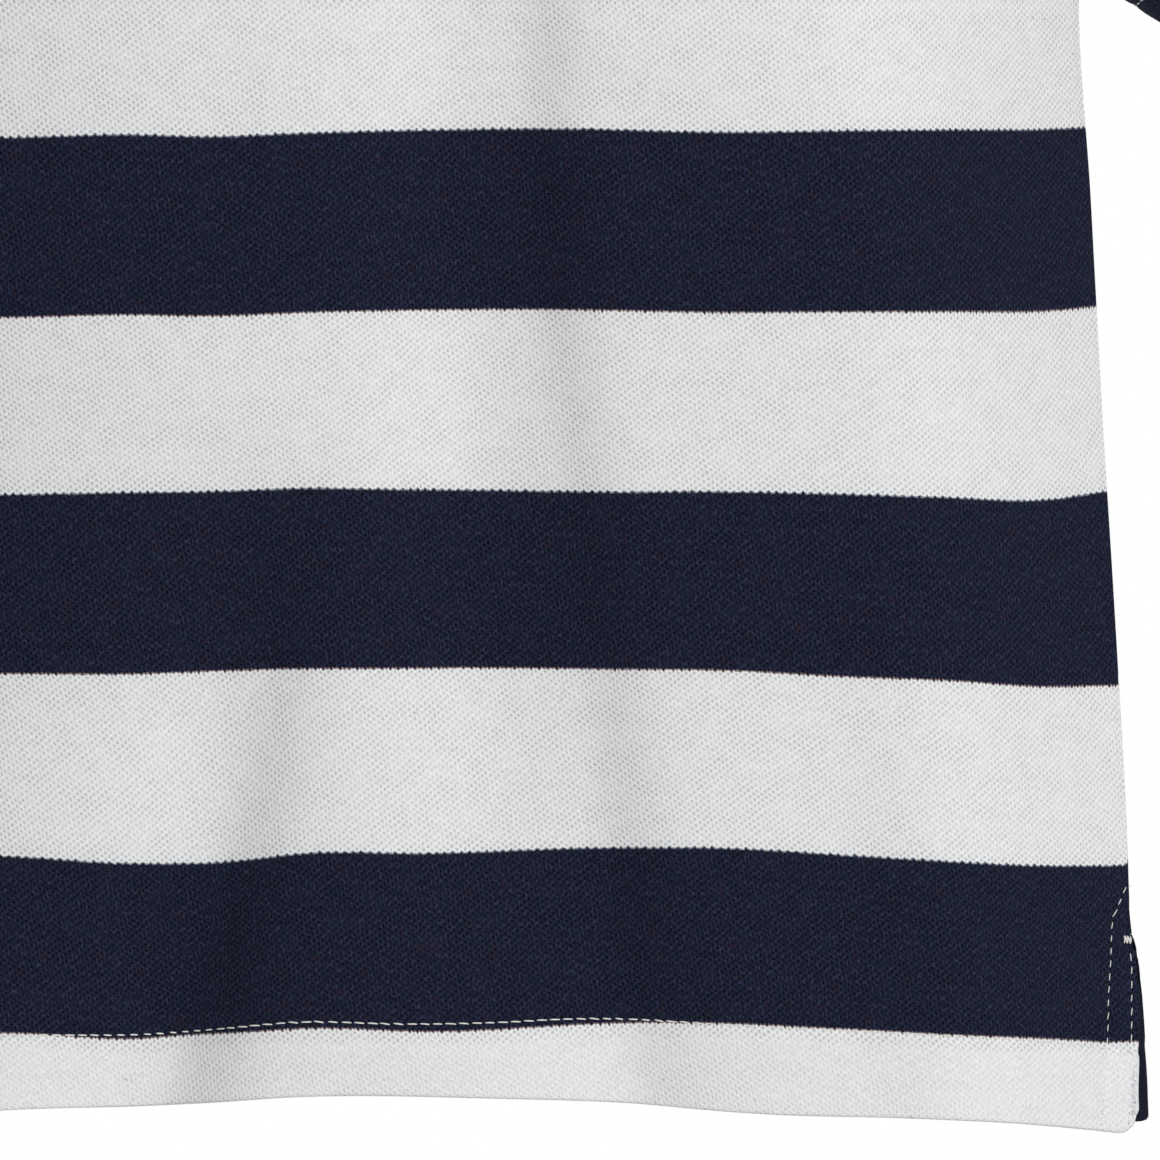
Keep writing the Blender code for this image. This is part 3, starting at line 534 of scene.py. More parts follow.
def add_shell(name, outer, inner, places, look, node_name, roundness=1.0, missing=None):
    """Closed shell between two grids. Its open edges are closed by a rim that bulges out in
    a half circle times roundness: middle + up cos(a) + out sin(a)."""
    rows, columns = outer.shape[:2]
    outer, inner, places_out = outer.reshape(-1, 3), inner.reshape(-1, 3), border_steps(places)
    total = len(outer)
    quads = grid_quads(rows, columns)
    if missing is not None:
        quads = quads[~missing.reshape(-1)]
    starts, ends = quads.ravel(), np.roll(quads, -1, axis=1).ravel()
    open_edge = ~np.isin(starts * total + ends, ends * total + starts)
    starts, ends = starts[open_edge], ends[open_edge]
    rim, numbers = np.unique(np.concatenate([starts, ends]), return_inverse=True)
    start_number, end_number = numbers[: len(starts)], numbers[len(starts) :]
    up = (outer[rim] - inner[rim]) / 2
    middle = (outer[rim] + inner[rim]) / 2
    half_thickness = np.linalg.norm(up, axis=1, keepdims=True)
    pushes = np.cross(outer[ends] - outer[starts], up[start_number])
    out = np.zeros_like(up)
    np.add.at(out, start_number, pushes)
    np.add.at(out, end_number, pushes)
    out = unit(out) * half_thickness
    out *= np.broadcast_to(roundness, (rows, columns)).reshape(-1)[rim][:, None]
    layers = [rim]
    points = [outer, inner]
    for number, turn in enumerate((pi / 4, pi / 2, 3 * pi / 4)):
        points.append(middle + up * np.cos(turn) + out * np.sin(turn))
        layers.append(2 * total + number * len(rim) + np.arange(len(rim)))
    layers.append(total + rim)
    faces = [quads, total + quads[:, (0, 3, 2, 1)]]
    for near, far in zip(layers, layers[1:]):
        corners = (near[end_number], near[start_number], far[start_number], far[end_number])
        faces.append(np.stack(corners, axis=1))
    places = places.reshape(-1, 2)
    beyond = places_out.reshape(-1, 2)[rim] * half_thickness
    places = [places, places] + [places[rim] + beyond * share for share in (0.8, 1.6, 0.8)]
    points, faces, places = (np.concatenate(parts) for parts in (points, faces, places))
    return add_quads(name, points, faces, places, look, node_name)


# ---------- front and back


def panel_columns():
    """Places of the grid's columns for the left half: close beside the placket, evenly spread
    along the round neckline, even on the shoulder, and close beside the seam."""
    middle = (0.0025, 0.005, 0.0075, SLOT_HALF_WIDTH, 0.013, 0.0165, STRAIGHT_REACH)
    start = np.arcsin(STRAIGHT_REACH / NECK_HALF_WIDTH)
    neck = NECK_HALF_WIDTH * np.sin(np.linspace(start, pi / 2, 22))[1:]
    shoulder = np.linspace(NECK_HALF_WIDTH, SHOULDER_HALF_WIDTH - VENT_REACH, 33)[1:]
    beside = np.array([10.5, 9, 8, 7.3, 6.5, 5.6, 4.6, 3.6, 2.8, 2, 1.4, 0.9, 0.45, 0]) * MM
    return np.concatenate([middle, neck, shoulder, SHOULDER_HALF_WIDTH - beside])


def panel_rises():
    """Rises of the grid's rows: close at the hem and its stitches, then even."""
    hem = np.array([0, 0.6, 1.2, 2, 3, 4.5, 6, 8, 10, 12, 14, 16, 17.2, 18, 18.4, 18.7, 19, 19.4,
                    20.2, 21.4, 23]) * MM
    body = np.linspace(0.023, ARMPIT_TO_HEM, 94)[1:-1]
    upper = (np.arange(64) / 63) ** 1.4
    return np.concatenate([np.concatenate([hem, body]) / ARMPIT_TO_HEM - 1, upper])


def panel_relief(across, rise):
    """How far the cloth stands out of its smooth form: the doubled hem a little out, each
    stitch line and seam a narrow groove."""
    height = above_hem(rise)
    from_edge = from_side(across)
    depth = along(HEM_DEPTHS, "depth", across)
    relief = hem_relief(depth - height, 0.3) + groove(height - HEM_FOLD, 0.10, 0.8)
    outer, inner = (along(TAPE_LINES, line, height) for line in ("outer", "inner"))
    lines = groove(from_edge - outer, 0.45, 1.3) + groove(from_edge - inner, 0.30, 0.9)
    lines = lines * (1 + ease((depth - height) / FADING))
    relief = relief - ((height < TAPE_SHOULDER) & (rise < 0)) * lines
    relief = relief - ease((height - VENT_LENGTH) / FADING) * groove(from_edge, 0.24, 0.9)
    on_shoulder = (np.abs(across) >= NECK_HALF_WIDTH) & (rise > 0.5)
    return relief - on_shoulder * groove((1 - rise) * 0.10, 0.60, 1.0)


class Panel:
    """Grid of the front's or the back's outer points, with its normals and cloth map."""

    def __init__(self, side):
        half = panel_columns()
        self.side = side
        self.across = np.concatenate([-half[::-1], half])[None, :] * -side
        self.rises = panel_rises()[:, None]
        smooth = panel_points(self.across, self.rises, side)
        self.normals = grid_normals(smooth)
        relief = panel_relief(self.across, self.rises)[..., None]
        self.points = smooth + self.normals * relief
        self.places = cloth_map(smooth, side)


def sleeve_direction(angle, hand):
    """Unit vector leaving the body at an angle below the horizontal."""
    return np.array([hand * np.cos(angle), 0.0, -np.sin(angle)])


class Armhole:
    """Closed line where a sleeve meets the body, from the shoulder down one side to the
    armpit and up the other, with the steps that mitre the two cloths together."""

    def __init__(self, hand, panels):
        self.hand = hand
        self.sides = (FRONT, BACK) if hand == LEFT else (BACK, FRONT)
        self.first_row = int(np.argmax(panel_rises() >= 0))
        self.armpit = len(panel_rises()) - self.first_row - 1
        self.points = self.loop([panels[side].points for side in self.sides])
        self.points[(0, self.armpit), 1] = 0
        body_normals = self.loop([panels[side].normals for side in self.sides])
        body_normals[(0, self.armpit), 1] = 0
        steps = np.linalg.norm(self.points - np.roll(self.points, 1, axis=0), axis=1)
        down = np.cumsum(steps[: self.armpit + 1]) - steps[0]
        up = np.cumsum(np.append(steps[self.armpit + 1 :], steps[0]))
        self.angles = pi * np.concatenate([down / down[-1], 1 + up[:-1] / up[-1]])
        under = ((1 - np.cos(self.angles)) / 2)[:, None]
        top_way = sleeve_direction(SHOULDER_ANGLE, hand)
        under_way = sleeve_direction(UNDERARM_ANGLE, hand)
        self.leaving = unit(top_way * (1 - under) + under_way * under)
        tangents = np.roll(self.points, -1, axis=0) - np.roll(self.points, 1, axis=0)
        both = unit(body_normals) + unit(np.cross(tangents, self.leaving))
        self.inward = -2 * both / np.sum(both**2, axis=1, keepdims=True)
        order = np.roll(np.arange(len(self.points)), -self.armpit)
        self.order = np.append(order, order[0])

    def column(self, side):
        """The panel column that lies on this armhole."""
        return -1 if self.hand * side == FRONT else 0

    def loop(self, grids):
        """The two panels' values along the armhole as one closed loop."""
        down, up = (grid[self.first_row :, self.column(side)]
                    for side, grid in zip(self.sides, grids))
        return np.concatenate([down[::-1], up[1:-1]])

    def for_panel(self, side):
        """Inward steps in the order of a panel's rows, from armpit to shoulder."""
        if side == self.sides[0]:
            return self.inward[: self.armpit + 1][::-1]
        return np.concatenate([self.inward[self.armpit :], self.inward[:1]])


def hem_thickness(inside):
    """Thickness of the cloth by the distance inside its turned hem."""
    return (CLOTH + (HEM_CLOTH - CLOTH) * ease(inside / HEM_EDGE))[..., None]


def add_panel(name, panel, armholes, look):
    """Front or back: a shell with two layers at the hem, its seams closed and its slot open."""
    across, rises, side = panel.across, panel.rises, panel.side
    height = above_hem(rises)
    inward = -panel.normals
    for armhole in armholes:
        inward[armhole.first_row :, armhole.column(side)] = armhole.for_panel(side)
    outer = panel.points.copy()
    inner = outer + inward * hem_thickness(along(HEM_DEPTHS, "depth", across) - height)
    keep_to(side, outer, inner)
    from_edge = from_side(across)
    in_seam = (from_edge < 1e-6) & (height > VENT_LENGTH - 0.002)
    in_seam = in_seam | ((rises > 0.9999) & (np.abs(across) > NECK_HALF_WIDTH - 1e-6))
    roundness = np.where(in_seam, 0.0, 1.0)
    roundness[0] = 0.5
    missing = np.zeros((outer.shape[0] - 1, outer.shape[1] - 1), dtype=bool)
    if side == FRONT:
        middle = np.abs(across[:, :-1] + across[:, 1:]) / 2 < SLOT_HALF_WIDTH
        missing = (outer[:-1, :-1, 2] > -NECK_DROPS[FRONT] - PLACKET_LENGTH) & middle
    return add_shell(name + "_panel", outer, inner, panel.places, look, name, roundness, missing)


# ---------- sleeves


def sleeve_rings(armhole):
    """Outer points of a sleeve, ring by ring: each line leaves the armhole along the
    shoulder and lands square on the cuff's ellipse (cubic curves)."""
    hand = armhole.hand
    axis = sleeve_direction(SLEEVE_ANGLE, hand)
    under_way = sleeve_direction(UNDERARM_ANGLE, hand)
    upward = np.array([hand * np.sin(SLEEVE_ANGLE), 0, np.cos(SLEEVE_ANGLE)])
    start = armhole.points
    middle = start[armhole.armpit] + under_way * UNDERARM_LENGTH + upward * CUFF_HALF_HEIGHT
    turn = armhole.angles[:, None]
    cuff = middle + upward * CUFF_HALF_HEIGHT * np.cos(turn)
    cuff = cuff + np.array([0, -hand, 0]) * CUFF_HALF_DEPTH * np.sin(turn)
    under = (1 - np.cos(turn)) / 2
    landing = unit(axis * (1 - under) + under_way * under)
    length = np.linalg.norm(cuff - start, axis=1, keepdims=True)
    share = np.linspace(0, 1, SLEEVE_RINGS)[:, None, None]
    bend = length * (armhole.leaving * (1 - share) - landing * share)
    return cubic(start, cuff, bend, share), middle, axis


class Sleeve:
    """Grid of a sleeve's outer points, with its normals, cloth map and distance to the cuff.
    Its first and last columns lie on the underarm seam."""

    def __init__(self, armhole):
        rings, middle, axis = sleeve_rings(armhole)
        rings = rings[:, armhole.order]
        self.normals = grid_normals(rings)
        self.normals[:, (0, -1)] = unit(self.normals[:, :1] + self.normals[:, -1:])
        from_body = run_along(rings)
        self.to_cuff = from_body[-1:] - from_body
        turn = np.degrees(armhole.angles[armhole.order])[None, :]
        way_round = (turn * armhole.hand) % 360 / 360 * SLEEVE_ROUND
        way_down = np.linspace(0, SLEEVE_LENGTH, SLEEVE_RINGS)[:, None]
        creases = crease_depth(SLEEVE_CREASES[armhole.hand], way_round, way_down)
        relief = -creases * ease(from_body / 0.006) * ease(self.to_cuff / 0.020)
        relief = relief + hem_relief(HEM_DEPTH - self.to_cuff, 0.25)
        relief = relief + 0.6 * MM * ease(from_body / 0.0018) * ease(1 - from_body / 0.012)
        columns = np.arange(rings.shape[1])
        relief = relief - groove(np.minimum(columns, columns[::-1])[None, :] * 0.0022, 0.35, 1.5)
        self.points = rings + self.normals * relief[..., None]
        run = run_along(rings - (rings @ axis)[..., None] * axis, axis=1)
        height = NAVY_BAND_FOOT + CUFF_MARGIN + (middle - rings) @ axis
        self.places = np.stack([run - run[:, -1:] / 2, height], axis=-1)
        self.inward = -self.normals
        self.inward[0] = armhole.inward[armhole.order]


def add_sleeve(name, sleeve, look):
    """Sleeve: a shell with two layers at its turned hem."""
    inner = sleeve.points + sleeve.inward * hem_thickness(HEM_DEPTH - sleeve.to_cuff)
    roundness = np.zeros(inner.shape[:2])
    roundness[-1] = 1
    return add_shell(name + "_cloth", sleeve.points, inner, sleeve.places, look, name, roundness)


# ---------- collar


def neckline_stations():
    """Neckline points, cloth normals and degrees round the neck, from the centre front by the
    left to the centre back, at even distances."""
    columns = panel_columns()
    inside = columns[columns < NECK_HALF_WIDTH + 1e-6]
    front = np.concatenate([[COLLAR_FRONT_GAP + COLLAR_CLOTH / 2], inside])
    back = np.concatenate([inside[:-1][::-1], [0.0]])
    rim = np.concatenate([panel_points(front, 1.0, FRONT), panel_points(back, 1.0, BACK)])
    lean = np.concatenate([panel_normals(front, 0.995, FRONT), panel_normals(back, 0.995, BACK)])
    shoulder = len(front) - 1
    rim[shoulder, 1] = 0
    lean[shoulder] = unit(lean[shoulder] * np.array([1, 0, 1]))
    around = np.degrees(np.arcsin(np.clip(rim[:, 0] / NECK_HALF_WIDTH, 0, 1)))
    around[shoulder + 1 :] = 180 - around[shoulder + 1 :]
    run = run_along(rim)
    joined = np.concatenate([rim, lean, around[:, None]], axis=1)
    joined = read_at(np.linspace(0, run[-1], COLLAR_STATIONS), run, joined)
    return joined[:, :3], unit(joined[:, 3:6]), joined[:, 6]


def body_point(x, turn):
    """Body surface by a turn in degrees: 0 on the chest, 90 on the shoulder, 180 on the back."""
    chest = surface(x, turn / 90, FRONT)
    return np.where((turn < 90)[:, None], chest, surface(x, 2 - turn / 90, BACK))


def collar_half():
    """Mid-cloth points of the collar's left half: a straight stand, then a leaf that rolls
    over on a cubic curve and lands beside the body."""
    rim, lean, around = neckline_stations()
    upright = np.array([0, 0, 1])
    level_out = unit(rim * np.array([1, 1, 0]) - np.array([0, NECK_AXIS_Y, 0]))
    into_neck = unit(np.cross(lean, np.gradient(rim, axis=0)))
    into_neck *= -np.sign(np.sum(into_neck * (level_out - upright), axis=1))[:, None]
    stand_way = unit(upright - STAND_LEAN * level_out)
    base = rim - lean * CLOTH / 2 - into_neck * STAND_SINK
    stand, edge_x, edge_turn, edge_lift = (along(COLLAR, column, around)
                                           for column in list(COLLAR)[1:])
    top = base + stand_way * stand[:, None]
    edge = body_point(edge_x, edge_turn)
    lying = unit(np.cross(body_point(edge_x + NEARBY, edge_turn) - edge,
                          body_point(edge_x, edge_turn + NEARBY_TURN) - edge))
    lying *= np.sign(np.sum(lying * (level_out + upright), axis=1))[:, None]
    edge = edge + lying * edge_lift[:, None]
    rising = top + stand_way * FOLD_RISE
    falling = top + level_out * FOLD_WIDTH + upright * FOLD_RISE
    profile = [base + (top - base) * step / STAND_STEPS for step in range(STAND_STEPS)]
    for share in np.arange(LEAF_STEPS + 1) / LEAF_STEPS:
        rest = 1 - share
        point = top * rest**3 + rising * 3 * rest**2 * share
        profile.append(point + falling * 3 * rest * share**2 + edge * share**3)
    return np.stack(profile, axis=1)


def add_collar(look):
    """Collar: the left half and its mirror image, joined at the centre back."""
    half = collar_half()
    points = np.concatenate([half, half[::-1][1:] * np.array([-1, 1, 1])])
    width = run_along(points, axis=1)
    to_edge = width[:, -1:] - width
    run = run_along(points)
    places = np.stack([run - run[len(run) // 2], to_edge], axis=-1)
    thickness = COLLAR_CLOTH * (1 - 0.35 * bell(to_edge, 0.0025))
    step = grid_normals(points) * thickness[..., None] / 2
    return add_shell("collar_knit", points + step, points - step, places, look, "collar")


# ---------- placket, tapes


def placket_rises():
    """Rises of a placket strip's rows, from below the slot to the neckline."""
    foot = -NECK_DROPS[FRONT] - PLACKET_LENGTH - SLOT_MARGIN
    hem = along(HEM, "front", 0.0)
    lowest = (foot - ARMPIT_HEIGHT) / (ARMPIT_HEIGHT - hem)
    edge = np.array([0, 0.8, 2, 3.5, 5]) * MM / ARMPIT_TO_HEM + lowest
    return np.concatenate([edge, np.linspace(edge[-1], 0, 4)[1:-1], np.linspace(0, 0.995, 70)])


def add_placket(name, node_name, base, look):
    """A strip on the front's own points, moved out by base, with grooves along its stitches.
    Its stripes go on from the panel's."""
    left = np.array([0, 0.5, 1.2, 2, 3.2, 5, 7.5, 10, 12.5]) * MM - PLACKET_HALF_WIDTH
    across = np.concatenate([left, -left[::-1]])[None, :]
    rises = placket_rises()[:, None]
    points, normals = lifted(across, rises, FRONT, 0)
    from_edge = PLACKET_HALF_WIDTH - np.abs(across)
    from_foot = (rises - rises[0]) * ARMPIT_TO_HEM
    sewn = np.maximum(groove(from_edge - PLACKET_STITCH_INSET, 0.22, 0.6),
                      groove(from_foot - PLACKET_STITCH_INSET, 0.22, 0.8))
    bottom = points + normals * base
    top = bottom + normals * (PLACKET_CLOTH - sewn)[..., None]
    return add_shell(name, top, bottom, cloth_map(points, FRONT), look, node_name)


def add_vent_tape(name, side, hand, look):
    """Tape inside a vent edge, narrowing to a tip on top: the panel's points moved in."""
    heights = np.concatenate([np.linspace(0.0004, TAPE_SHOULDER, 27),
                              np.linspace(TAPE_SHOULDER, TAPE_HEIGHT, 8)[1:]])[:, None]
    narrowing = np.clip((TAPE_HEIGHT - heights) / (TAPE_HEIGHT - TAPE_SHOULDER), 0.06, 1)
    width = (along(TAPE_LINES, "outer", heights) + TAPE_MARGIN) * narrowing
    from_edge = width * np.linspace(0.0, 1.0, 12)[None, :] ** 1.6
    from_edge = from_edge[:, ::-1] if hand * side == FRONT else from_edge
    across = hand * (SHOULDER_HALF_WIDTH - from_edge)
    rises = heights / ARMPIT_TO_HEM - 1 + 0 * across
    over_edge = ease((VENT_LENGTH - heights) / FADING) * ease(1 - from_edge / TAPE_OVERHANG)
    sideways = np.array([hand, 0, 0]) * (over_edge * TAPE_OVERHANG)[..., None]
    if side == BACK:
        at_foot = ease(1 - heights / 0.003)[..., None]
        sideways = sideways - np.array([0, 0, 1]) * at_foot * TAPE_OVERHANG
    depth = hem_thickness(HEM_DEPTH - heights) + TAPE_GAP
    outer, normals = lifted(across, rises, side, -depth)
    outer = outer + sideways
    inner = outer - normals * TAPE_CLOTH
    keep_to(side, outer, inner)
    places = np.stack([from_edge, rises * ARMPIT_TO_HEM], axis=-1)
    return add_shell(name + "_twill", outer, inner, places, look, name, 0.6)


# ---------- threads

Threads = namedtuple("Threads", "middles ways outwards half_lengths")
Seam = namedtuple("Seam", "points normals stitch_length")


def add_threads(name, threads, yarn, look):
    """Many short threads in one mesh. Along s from -1 to 1 each is at
    middle + way half s + outward (rise (1 - s^2) - radius) + sideways bow (1 - s^2),
    with a round section that thins to its ends as (1 - 0.94 s^2)^(1/2)."""
    count = len(threads.middles)
    s = np.linspace(-1, 1, THREAD_RINGS)[None, :, None]
    ways = unit(threads.ways)
    along_way = np.sum(threads.outwards * ways, axis=1, keepdims=True)
    outwards = unit(threads.outwards - ways * along_way)
    sideways = np.cross(ways, outwards)
    half_lengths, radius, rise = (np.broadcast_to(values, count)[:, None, None]
                                  for values in (threads.half_lengths, yarn.radius, yarn.rise))
    centres = threads.middles[:, None] + ways[:, None] * half_lengths * s
    centres = centres + outwards[:, None] * (rise * (1 - s**2) - radius)
    centres = centres + sideways[:, None] * yarn.bow * (1 - s**2)
    turn = (np.arange(THREAD_SIDES) * 2 * pi / THREAD_SIDES)[None, :, None]
    rings = outwards[:, None] * np.cos(turn) + sideways[:, None] * np.sin(turn)
    thin = radius * np.sqrt(1 - 0.94 * s**2)
    points = centres[:, :, None] + rings[:, None] * thin[..., None]
    numbers = np.arange(THREAD_RINGS * THREAD_SIDES).reshape(THREAD_RINGS, THREAD_SIDES)
    onward = np.roll(numbers, -1, axis=1)
    tube = np.stack([numbers[:-1], onward[:-1], onward[1:], numbers[1:]], axis=-1)
    first, last = numbers[0], numbers[-1]
    caps = [first[[3, 2, 1, 0]], first[[5, 4, 3, 0]], last[[0, 1, 2, 3]], last[[0, 3, 4, 5]]]
    quads = np.concatenate([tube.reshape(-1, 4), np.array(caps)])
    quads = np.arange(count)[:, None, None] * THREAD_RINGS * THREAD_SIDES + quads[None]
    return add_quads(name, points.reshape(-1, 3), quads.reshape(-1, 4), None, look)


def panel_seam(across, height, side, stitch_length=VENT_STITCH):
    """A line of stitches on a panel, by its places and its heights above the hem."""
    rises = np.asarray(height) / ARMPIT_TO_HEM - 1
    relief = panel_relief(across, rises)[..., None]
    return Seam(*lifted(across, rises, side, relief), stitch_length)


def stitches_on(seam, seed):
    """Stitches at an even pitch along a line, each turned a little to the same side."""
    dice = np.random.default_rng(seed)
    run = run_along(seam.points)
    count = max(int(round(run[-1] / STITCH_PITCH)), 1)
    place = (np.arange(count) + 0.5) * run[-1] / count + dice.normal(0, 0.00010, count)
    half = seam.stitch_length / 2 * (1 + dice.normal(0, 0.05, count))
    step = read_at(place + half, run, seam.points) - read_at(place - half, run, seam.points)
    outwards = read_at(place, run, seam.normals)
    slant = dice.normal(0.07, 0.05, count)[:, None]
    ways = step + np.cross(unit(step), outwards) * slant * half[:, None] * 2
    return Threads(read_at(place, run, seam.points), ways, outwards, half)


def panel_seams(side):
    """All stitch lines of one panel: round the hem, beside both vents and over their tapes."""
    reach = SHOULDER_HALF_WIDTH - along(TAPE_LINES, "outer", HEM_DEPTH)
    across = np.linspace(reach, -reach, 240) * side
    lines = [panel_seam(across, along(HEM_DEPTHS, "depth", across), side, HEM_STITCH)]
    height = np.linspace(0.0010, TAPE_SHOULDER, 60)
    inset = along(TAPE_LINES, "outer", height)
    slope = np.linspace(0, 1, 12)[1:]
    inset = np.concatenate([inset, inset[-1] + (0.0001 - inset[-1]) * slope])
    height = np.concatenate([height, TAPE_SHOULDER + (TAPE_HEIGHT - TAPE_SHOULDER) * slope])
    low = np.linspace(0.0010, VENT_LENGTH - 0.0028, 50)
    for hand in HANDS.values():
        edge = hand * SHOULDER_HALF_WIDTH
        lines.append(panel_seam(edge - hand * inset, height, side))
        lines.append(panel_seam(edge - hand * along(TAPE_LINES, "inner", low), low, side))
    return lines


def cuff_seam(sleeve):
    """The stitch line of a sleeve's hem, read between the rings at the hem's depth."""
    below = np.argmax(sleeve.to_cuff < HEM_DEPTH, axis=0)
    column = np.arange(len(below))
    near, far = sleeve.to_cuff[below - 1, column], sleeve.to_cuff[below, column]
    share = ((near - HEM_DEPTH) / (near - far))[:, None]
    line = sleeve.points[below - 1, column] * (1 - share) + sleeve.points[below, column] * share
    return Seam(line, sleeve.normals[below, column], HEM_STITCH)


def placket_seams():
    """Stitch lines of the placket: down both its edges, and a box at its foot."""
    foot = placket_rises()[0] + PLACKET_STITCH_INSET / ARMPIT_TO_HEM
    lid = foot + 0.012 / ARMPIT_TO_HEM
    inset = PLACKET_HALF_WIDTH - PLACKET_STITCH_INSET
    level = np.linspace(-inset, inset, 20)
    tall = np.linspace(foot, 0.98, 90)
    lift = LAYER_GAP + PLACKET_CLOTH - STITCH_SINK
    return [Seam(*lifted(across, rise, FRONT, lift), HEM_STITCH)
            for across, rise in ((-inset, tall), (inset, tall), (level, foot), (level, lid))]


def on_navy(sewn, side):
    """The stitches of a panel that lie on navy, and the last ones beside its vents' feet."""
    x, z = sewn.middles[:, 0], sewn.middles[:, 2]
    foot = (z < along(HEM, FACE[side], x) + 0.006) & (np.abs(x) > 0.16)
    chosen = (stripe_wave(z + hang(x, z, side)) > 0.15) | foot
    return Threads(*(values[chosen] for values in sewn))


def add_sewing(name, seams, seed, look, hole_shade_look, side=None):
    """All stitches of several lines in one mesh, short ones with a finer thread, and in
    another the painted shade of the needle holes at both their ends: low dark six-sided lenses
    on the cloth. On a panel's side this painted shade is only where it shows."""
    rows = [stitches_on(seam, seed + number) for number, seam in enumerate(seams)]
    sewn = Threads(*(np.concatenate(column) for column in zip(*rows)))
    short = sewn.half_lengths < (HEM_STITCH + VENT_STITCH) / 4
    radius = np.where(short, VENT_THREAD, HEM_THREAD)
    yarn = Yarn(radius, 1.5 * radius, STITCH_BOW)
    stitches = add_threads(name + "_stitches", sewn, yarn, look)
    sewn = on_navy(sewn, side) if side else sewn
    shift = unit(sewn.ways) * (sewn.half_lengths[:, None] + 0.00010)
    middles = np.concatenate([sewn.middles + shift, sewn.middles - shift])
    ways, outwards = (np.tile(values, (2, 1)) for values in (sewn.ways, sewn.outwards))
    holes = Threads(middles, ways, outwards, NEEDLE_HOLE)
    # The needle holes' painted shade: dark lenses at both ends of each stitch
    return [stitches, add_threads(name + "_needle_hole_shade", holes, HOLE_YARN, hole_shade_look)]


def add_bar_tack(name, hand, look):
    """Zigzag of thread across the top of a vent, from the front just round to the back."""
    across = np.linspace(-0.0018, 0.0003, 7)
    height = VENT_LENGTH - 0.0002 + np.where(np.arange(7) % 2, 0.0011, -0.0011)
    place = hand * from_side(across)
    front, back = (panel_seam(place, height, side) for side in SIDES.values())
    in_front = (across < 0)[:, None]
    points = np.where(in_front, front.points, back.points)
    outwards = np.where(in_front, front.normals, back.normals)
    ways = points[1:] - points[:-1]
    tack = Threads((points[1:] + points[:-1]) / 2, ways, outwards[1:] + outwards[:-1],
                   np.linalg.norm(ways, axis=1) / 2)
    return add_threads(name, tack, TACK_YARN, look)


def level_threads(middles, outwards, half_lengths):
    """Threads that lie level, across the chest."""
    return Threads(middles, np.tile([1.0, 0, 0], (len(middles), 1)), outwards, half_lengths)


def add_buttonhole(name, height, look):
    """Dense bars of thread down both sides of a slit and across its ends."""
    run = np.linspace(-1, 1, 60)
    up = np.concatenate([run, run, [-1.04, 1.04]]) * BUTTONHOLE_HALF_LENGTH
    over = np.repeat([-0.0009, 0.0009, 0], (60, 60, 2))
    rise = rise_at(np.zeros(len(up)), height + up) / top_rise(over, FRONT)
    middles, normals = lifted(over, rise, FRONT, LAYER_GAP + PLACKET_CLOTH)
    bars = level_threads(middles, normals, np.repeat([0.0007, 0.0016], (120, 2)))
    return add_threads(name, bars, BUTTONHOLE_YARN, look)


def add_button_thread(name, height, look):
    """Two bars of thread between the holes of a button."""
    x = np.zeros(2)
    point, above = surface(x, rise_at(x, height + np.array([0, 0.002])), FRONT)
    up = unit(above - point)
    outward = unit(np.cross(np.array([1.0, 0, 0]), up))
    face = point + outward * BUTTON_FACE
    middles = np.array([face + up * BUTTON_HOLE_OFFSET, face - up * BUTTON_HOLE_OFFSET])
    bars = level_threads(middles, np.tile(outward, (2, 1)), BUTTON_HOLE_OFFSET + 0.0002)
    return add_threads(name, bars, BUTTON_YARN, look)


def add_fibres(name, points, normals, count, seed, length, look):
    """Loose fibres lying on the cloth: thin bowed threads at some of the given points."""
    dice = np.random.default_rng(seed)
    chosen = dice.permutation(len(points))[:count]
    ways = np.cross(normals[chosen], dice.normal(0, 1, (len(chosen), 3)))
    half = length * dice.uniform(0.4, 1.0, len(chosen)) / 2
    fibres = Threads(points[chosen] + normals[chosen] * 0.00004, ways, normals[chosen], half)
    return add_threads(name, fibres, Yarn(0.00003, 0.00012, length * 0.12), look)


# ---------- shader values


def maths(operation, order=1):
    """A method that puts a wire through a Math node, before or after other values."""

    def method(wire, *others):
        inputs = dict(enumerate((wire, *others)[::order]))
        made = add_node(wire.socket.id_data, "ShaderNodeMath", inputs, operation=operation)
        return Wire(made.outputs[0])

    return method


class Wire:
    """The value of a shader socket, which takes part in sums like a number."""

    def __init__(self, socket):
        self.socket = socket

    __add__ = maths("ADD")
    __sub__ = maths("SUBTRACT")
    __rsub__ = maths("SUBTRACT", order=-1)
    __mul__ = maths("MULTIPLY")
    __rtruediv__ = maths("DIVIDE", order=-1)
    __pow__ = maths("POWER")
    cos = maths("COSINE")
    sin = maths("SINE")
    absolute = maths("ABSOLUTE")
    minimum = maths("MINIMUM")


def feed(node, inputs):
    """Sets or links inputs of a shader node."""
    for name, value in inputs.items():
        if isinstance(value, Wire):
            node.id_data.links.new(value.socket, node.inputs[name])
        else:
            node.inputs[name].default_value = value


def add_node(tree, kind, inputs=(), **settings):
    """A shader node with its settings and inputs."""
    node = tree.nodes.new(kind)
    for name, value in settings.items():
        setattr(node, name, value)
    feed(node, dict(inputs))
    return node


def wires(node):
    """Outputs of a shader node by name."""
    return {socket.name: Wire(socket) for socket in node.outputs}


def span(value, low, high, to_low=0.0, to_high=1.0):
    """A value eased from the range low to high into another range."""
    inputs = {"Value": value, "From Min": low, "From Max": high, "To Min": to_low,
              "To Max": to_high}
    node = add_node(value.socket.id_data, "ShaderNodeMapRange", inputs,
                    interpolation_type="SMOOTHSTEP")
    return wires(node)["Result"]


